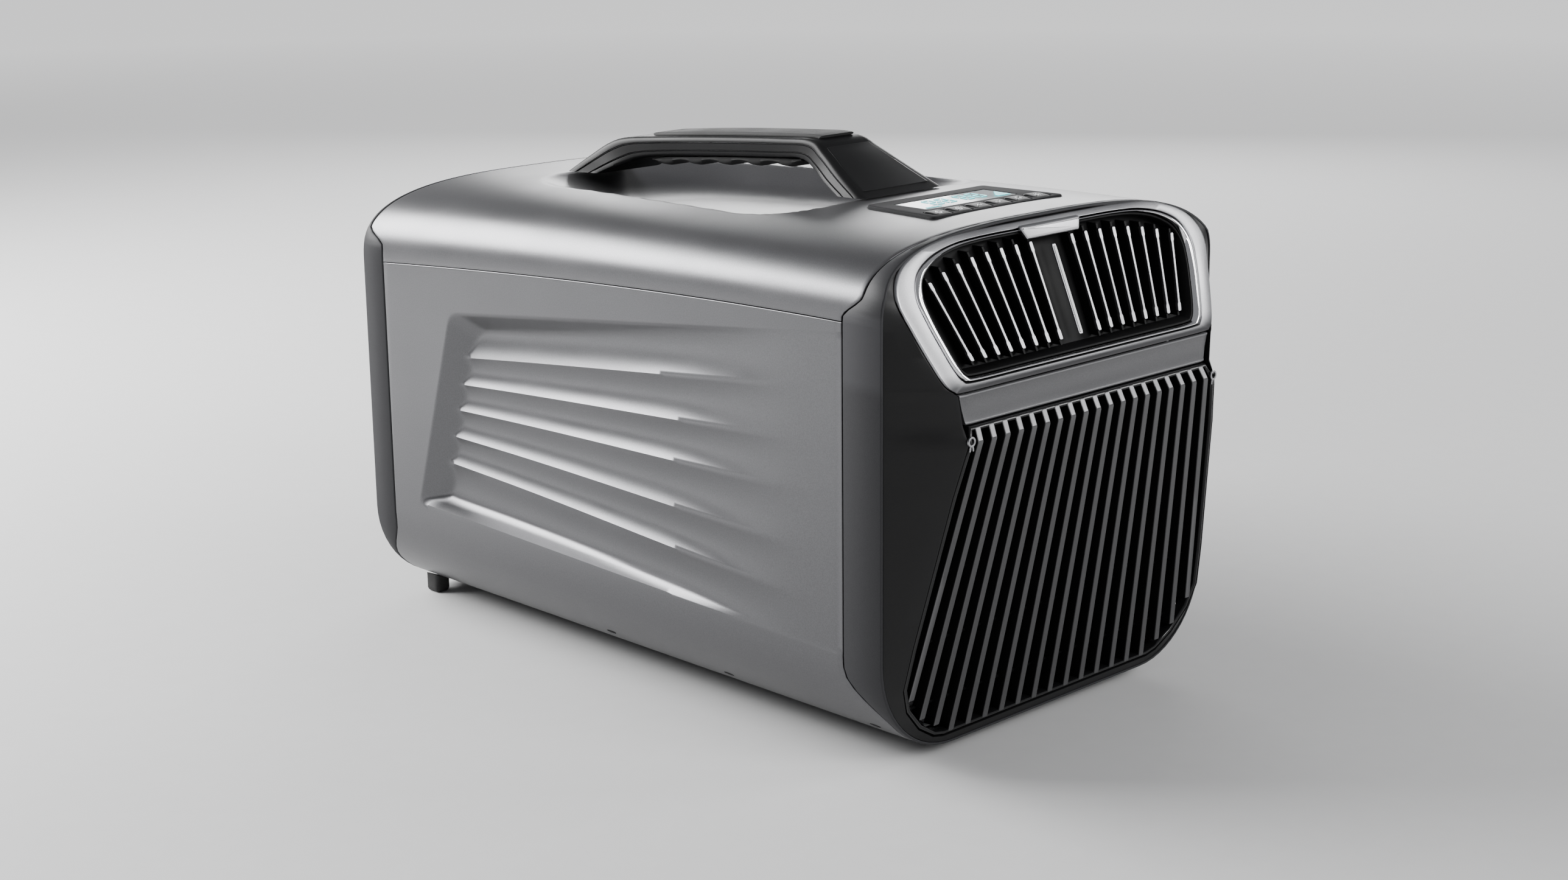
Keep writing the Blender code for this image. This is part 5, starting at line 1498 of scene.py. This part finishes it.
def dress_nodes():
    for name, slot in NODE_FINISH.items():
        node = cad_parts[name]
        for holder in node.material_slots:
            holder.material = FINISHES[slot]


# ---------------------------------------------------------------- stage
CAMERA_PLACE = Vector((-1.081, -1.1067, 0.5328))
CAMERA_AIM = Vector((-0.0009, 0.0, 0.1304))
CAMERA_ROLL = -0.58
CAMERA_LENS = 56.0
SENSOR_WIDTH = 36.0
STAGE_MIDDLE = Vector((0.0, 0.0, 0.18))
FLOOR_RADIUS = 30.0
FLOOR_TONE = 0.56
GLOW_START, GLOW_END = 0.35, 4.5    # distances between which the floor's own light rises: a painted contact shadow round the object
GLOW_STRENGTH = 0.85
SKY_STRENGTH = 0.28

# Softboxes: name, direction from the object, distance, width and height, radiance.
SOFTBOXES = [
    ("shoulder_softbox", (-0.4, 0.79, 0.46), 2.0, (1.7, 0.88), 26.0),
    ("horizon_softbox", (0.74, 0.62, 0.28), 2.4, (1.5, 0.5), 9.0),
    ("nose_softbox", (0.16, -0.9, 0.42), 2.2, (0.9, 0.8), 12.0),
    ("louvre_softbox", (0.72, -0.6, 0.42), 2.2, (0.7, 0.6), 10.0),
]


def area_light(name, place, aim, size, power):
    data = bpy.data.lights.new(name, "AREA")
    data.shape = "RECTANGLE"
    data.size, data.size_y = size
    data.energy = power
    lamp = bpy.data.objects.new(name, data)
    bpy.context.scene.collection.objects.link(lamp)
    lamp.location = place
    lamp.visible_camera = False
    lamp.rotation_euler = (Vector(aim) - Vector(place)).to_track_quat("-Z", "Y").to_euler()


def stage():
    bm = bmesh.new()
    bmesh.ops.create_circle(bm, cap_ends=True, radius=FLOOR_RADIUS, segments=96)
    mesh = bpy.data.meshes.new("floor")
    bm.to_mesh(mesh)
    bm.free()
    floor = bpy.data.objects.new("floor", mesh)
    bpy.context.scene.collection.objects.link(floor)
    paper = finish("floor_paper", (FLOOR_TONE,) * 3, 0.85, speck=0.01, speck_scale=60.0,
        smudge=0.05, smudge_scale=2.0, grain=0.05, grain_scale=200.0)
    tree = paper.node_tree
    shader = tree.nodes["Principled BSDF"]
    reach = tree.nodes.new("ShaderNodeVectorMath")
    reach.operation = "LENGTH"
    tree.links.new(tree.nodes.new("ShaderNodeTexCoord").outputs["Object"], reach.inputs[0])
    # The floor's glow is nil near the object and rises outwards, painting a soft shadow round it.
    glow = ranged(tree, reach.outputs["Value"], 0.0, GLOW_STRENGTH, GLOW_START, GLOW_END)
    shader.inputs["Emission Color"].default_value = (1.0, 1.0, 1.0, 1.0)
    tree.links.new(glow, shader.inputs["Emission Strength"])
    mesh.materials.append(paper)
    world = bpy.data.worlds.new("studio")
    bpy.context.scene.world = world
    world.use_nodes = True
    sky = world.node_tree.nodes["Background"]
    sky.inputs["Color"].default_value = (0.95, 0.96, 1.0, 1.0)
    sky.inputs["Strength"].default_value = SKY_STRENGTH
    for name, direction, distance, size, radiance in SOFTBOXES:
        place = STAGE_MIDDLE + Vector(direction).normalized() * distance
        area_light(name, place, STAGE_MIDDLE, size, radiance * math.pi * size[0] * size[1])


def camera():
    data = bpy.data.cameras.new("camera")
    data.lens = CAMERA_LENS
    data.sensor_width = SENSOR_WIDTH
    made = bpy.data.objects.new("camera", data)
    bpy.context.scene.collection.objects.link(made)
    made.location = CAMERA_PLACE
    turn = (CAMERA_AIM - CAMERA_PLACE).to_track_quat("-Z", "Y").to_matrix()
    made.rotation_euler = (turn @ Matrix.Rotation(math.radians(CAMERA_ROLL), 3, "Z")).to_euler()
    bpy.context.scene.camera = made


top_shell()
side_panel("left_side_panel", -1)
side_panel("right_side_panel", 1)
bezel("front_bezel_band", bezel_front, lambda z: front_edge(z) - GAP, 0.0009, "front_bezel", 0.0015)
bezel("rear_bezel_band", lambda z: rear_edge(z) + GAP, lambda z: REAR_FACE_Y, 0.0014, "rear_bezel")
outlet_rings()
outlet_insert()
centre_band()
nose_facets()
intake_cover()
control_panel()
handle()
rear_panel()
rear_grille("rear_exhaust_grille", "exhaust_cover", 9)
rear_grille("rear_intake_grille", "rear_intake_cover", 6)
port_bay()
for index in range(4):
    screw("rear_screw_%d" % (index + 1))
for end in ("left", "right"):
    foot("foot_front_" + end, 0.004)
    foot("foot_rear_" + end, 0.0034)
drain_plug()
base_pan()
side_notches()
dress_nodes()
stage()
camera()
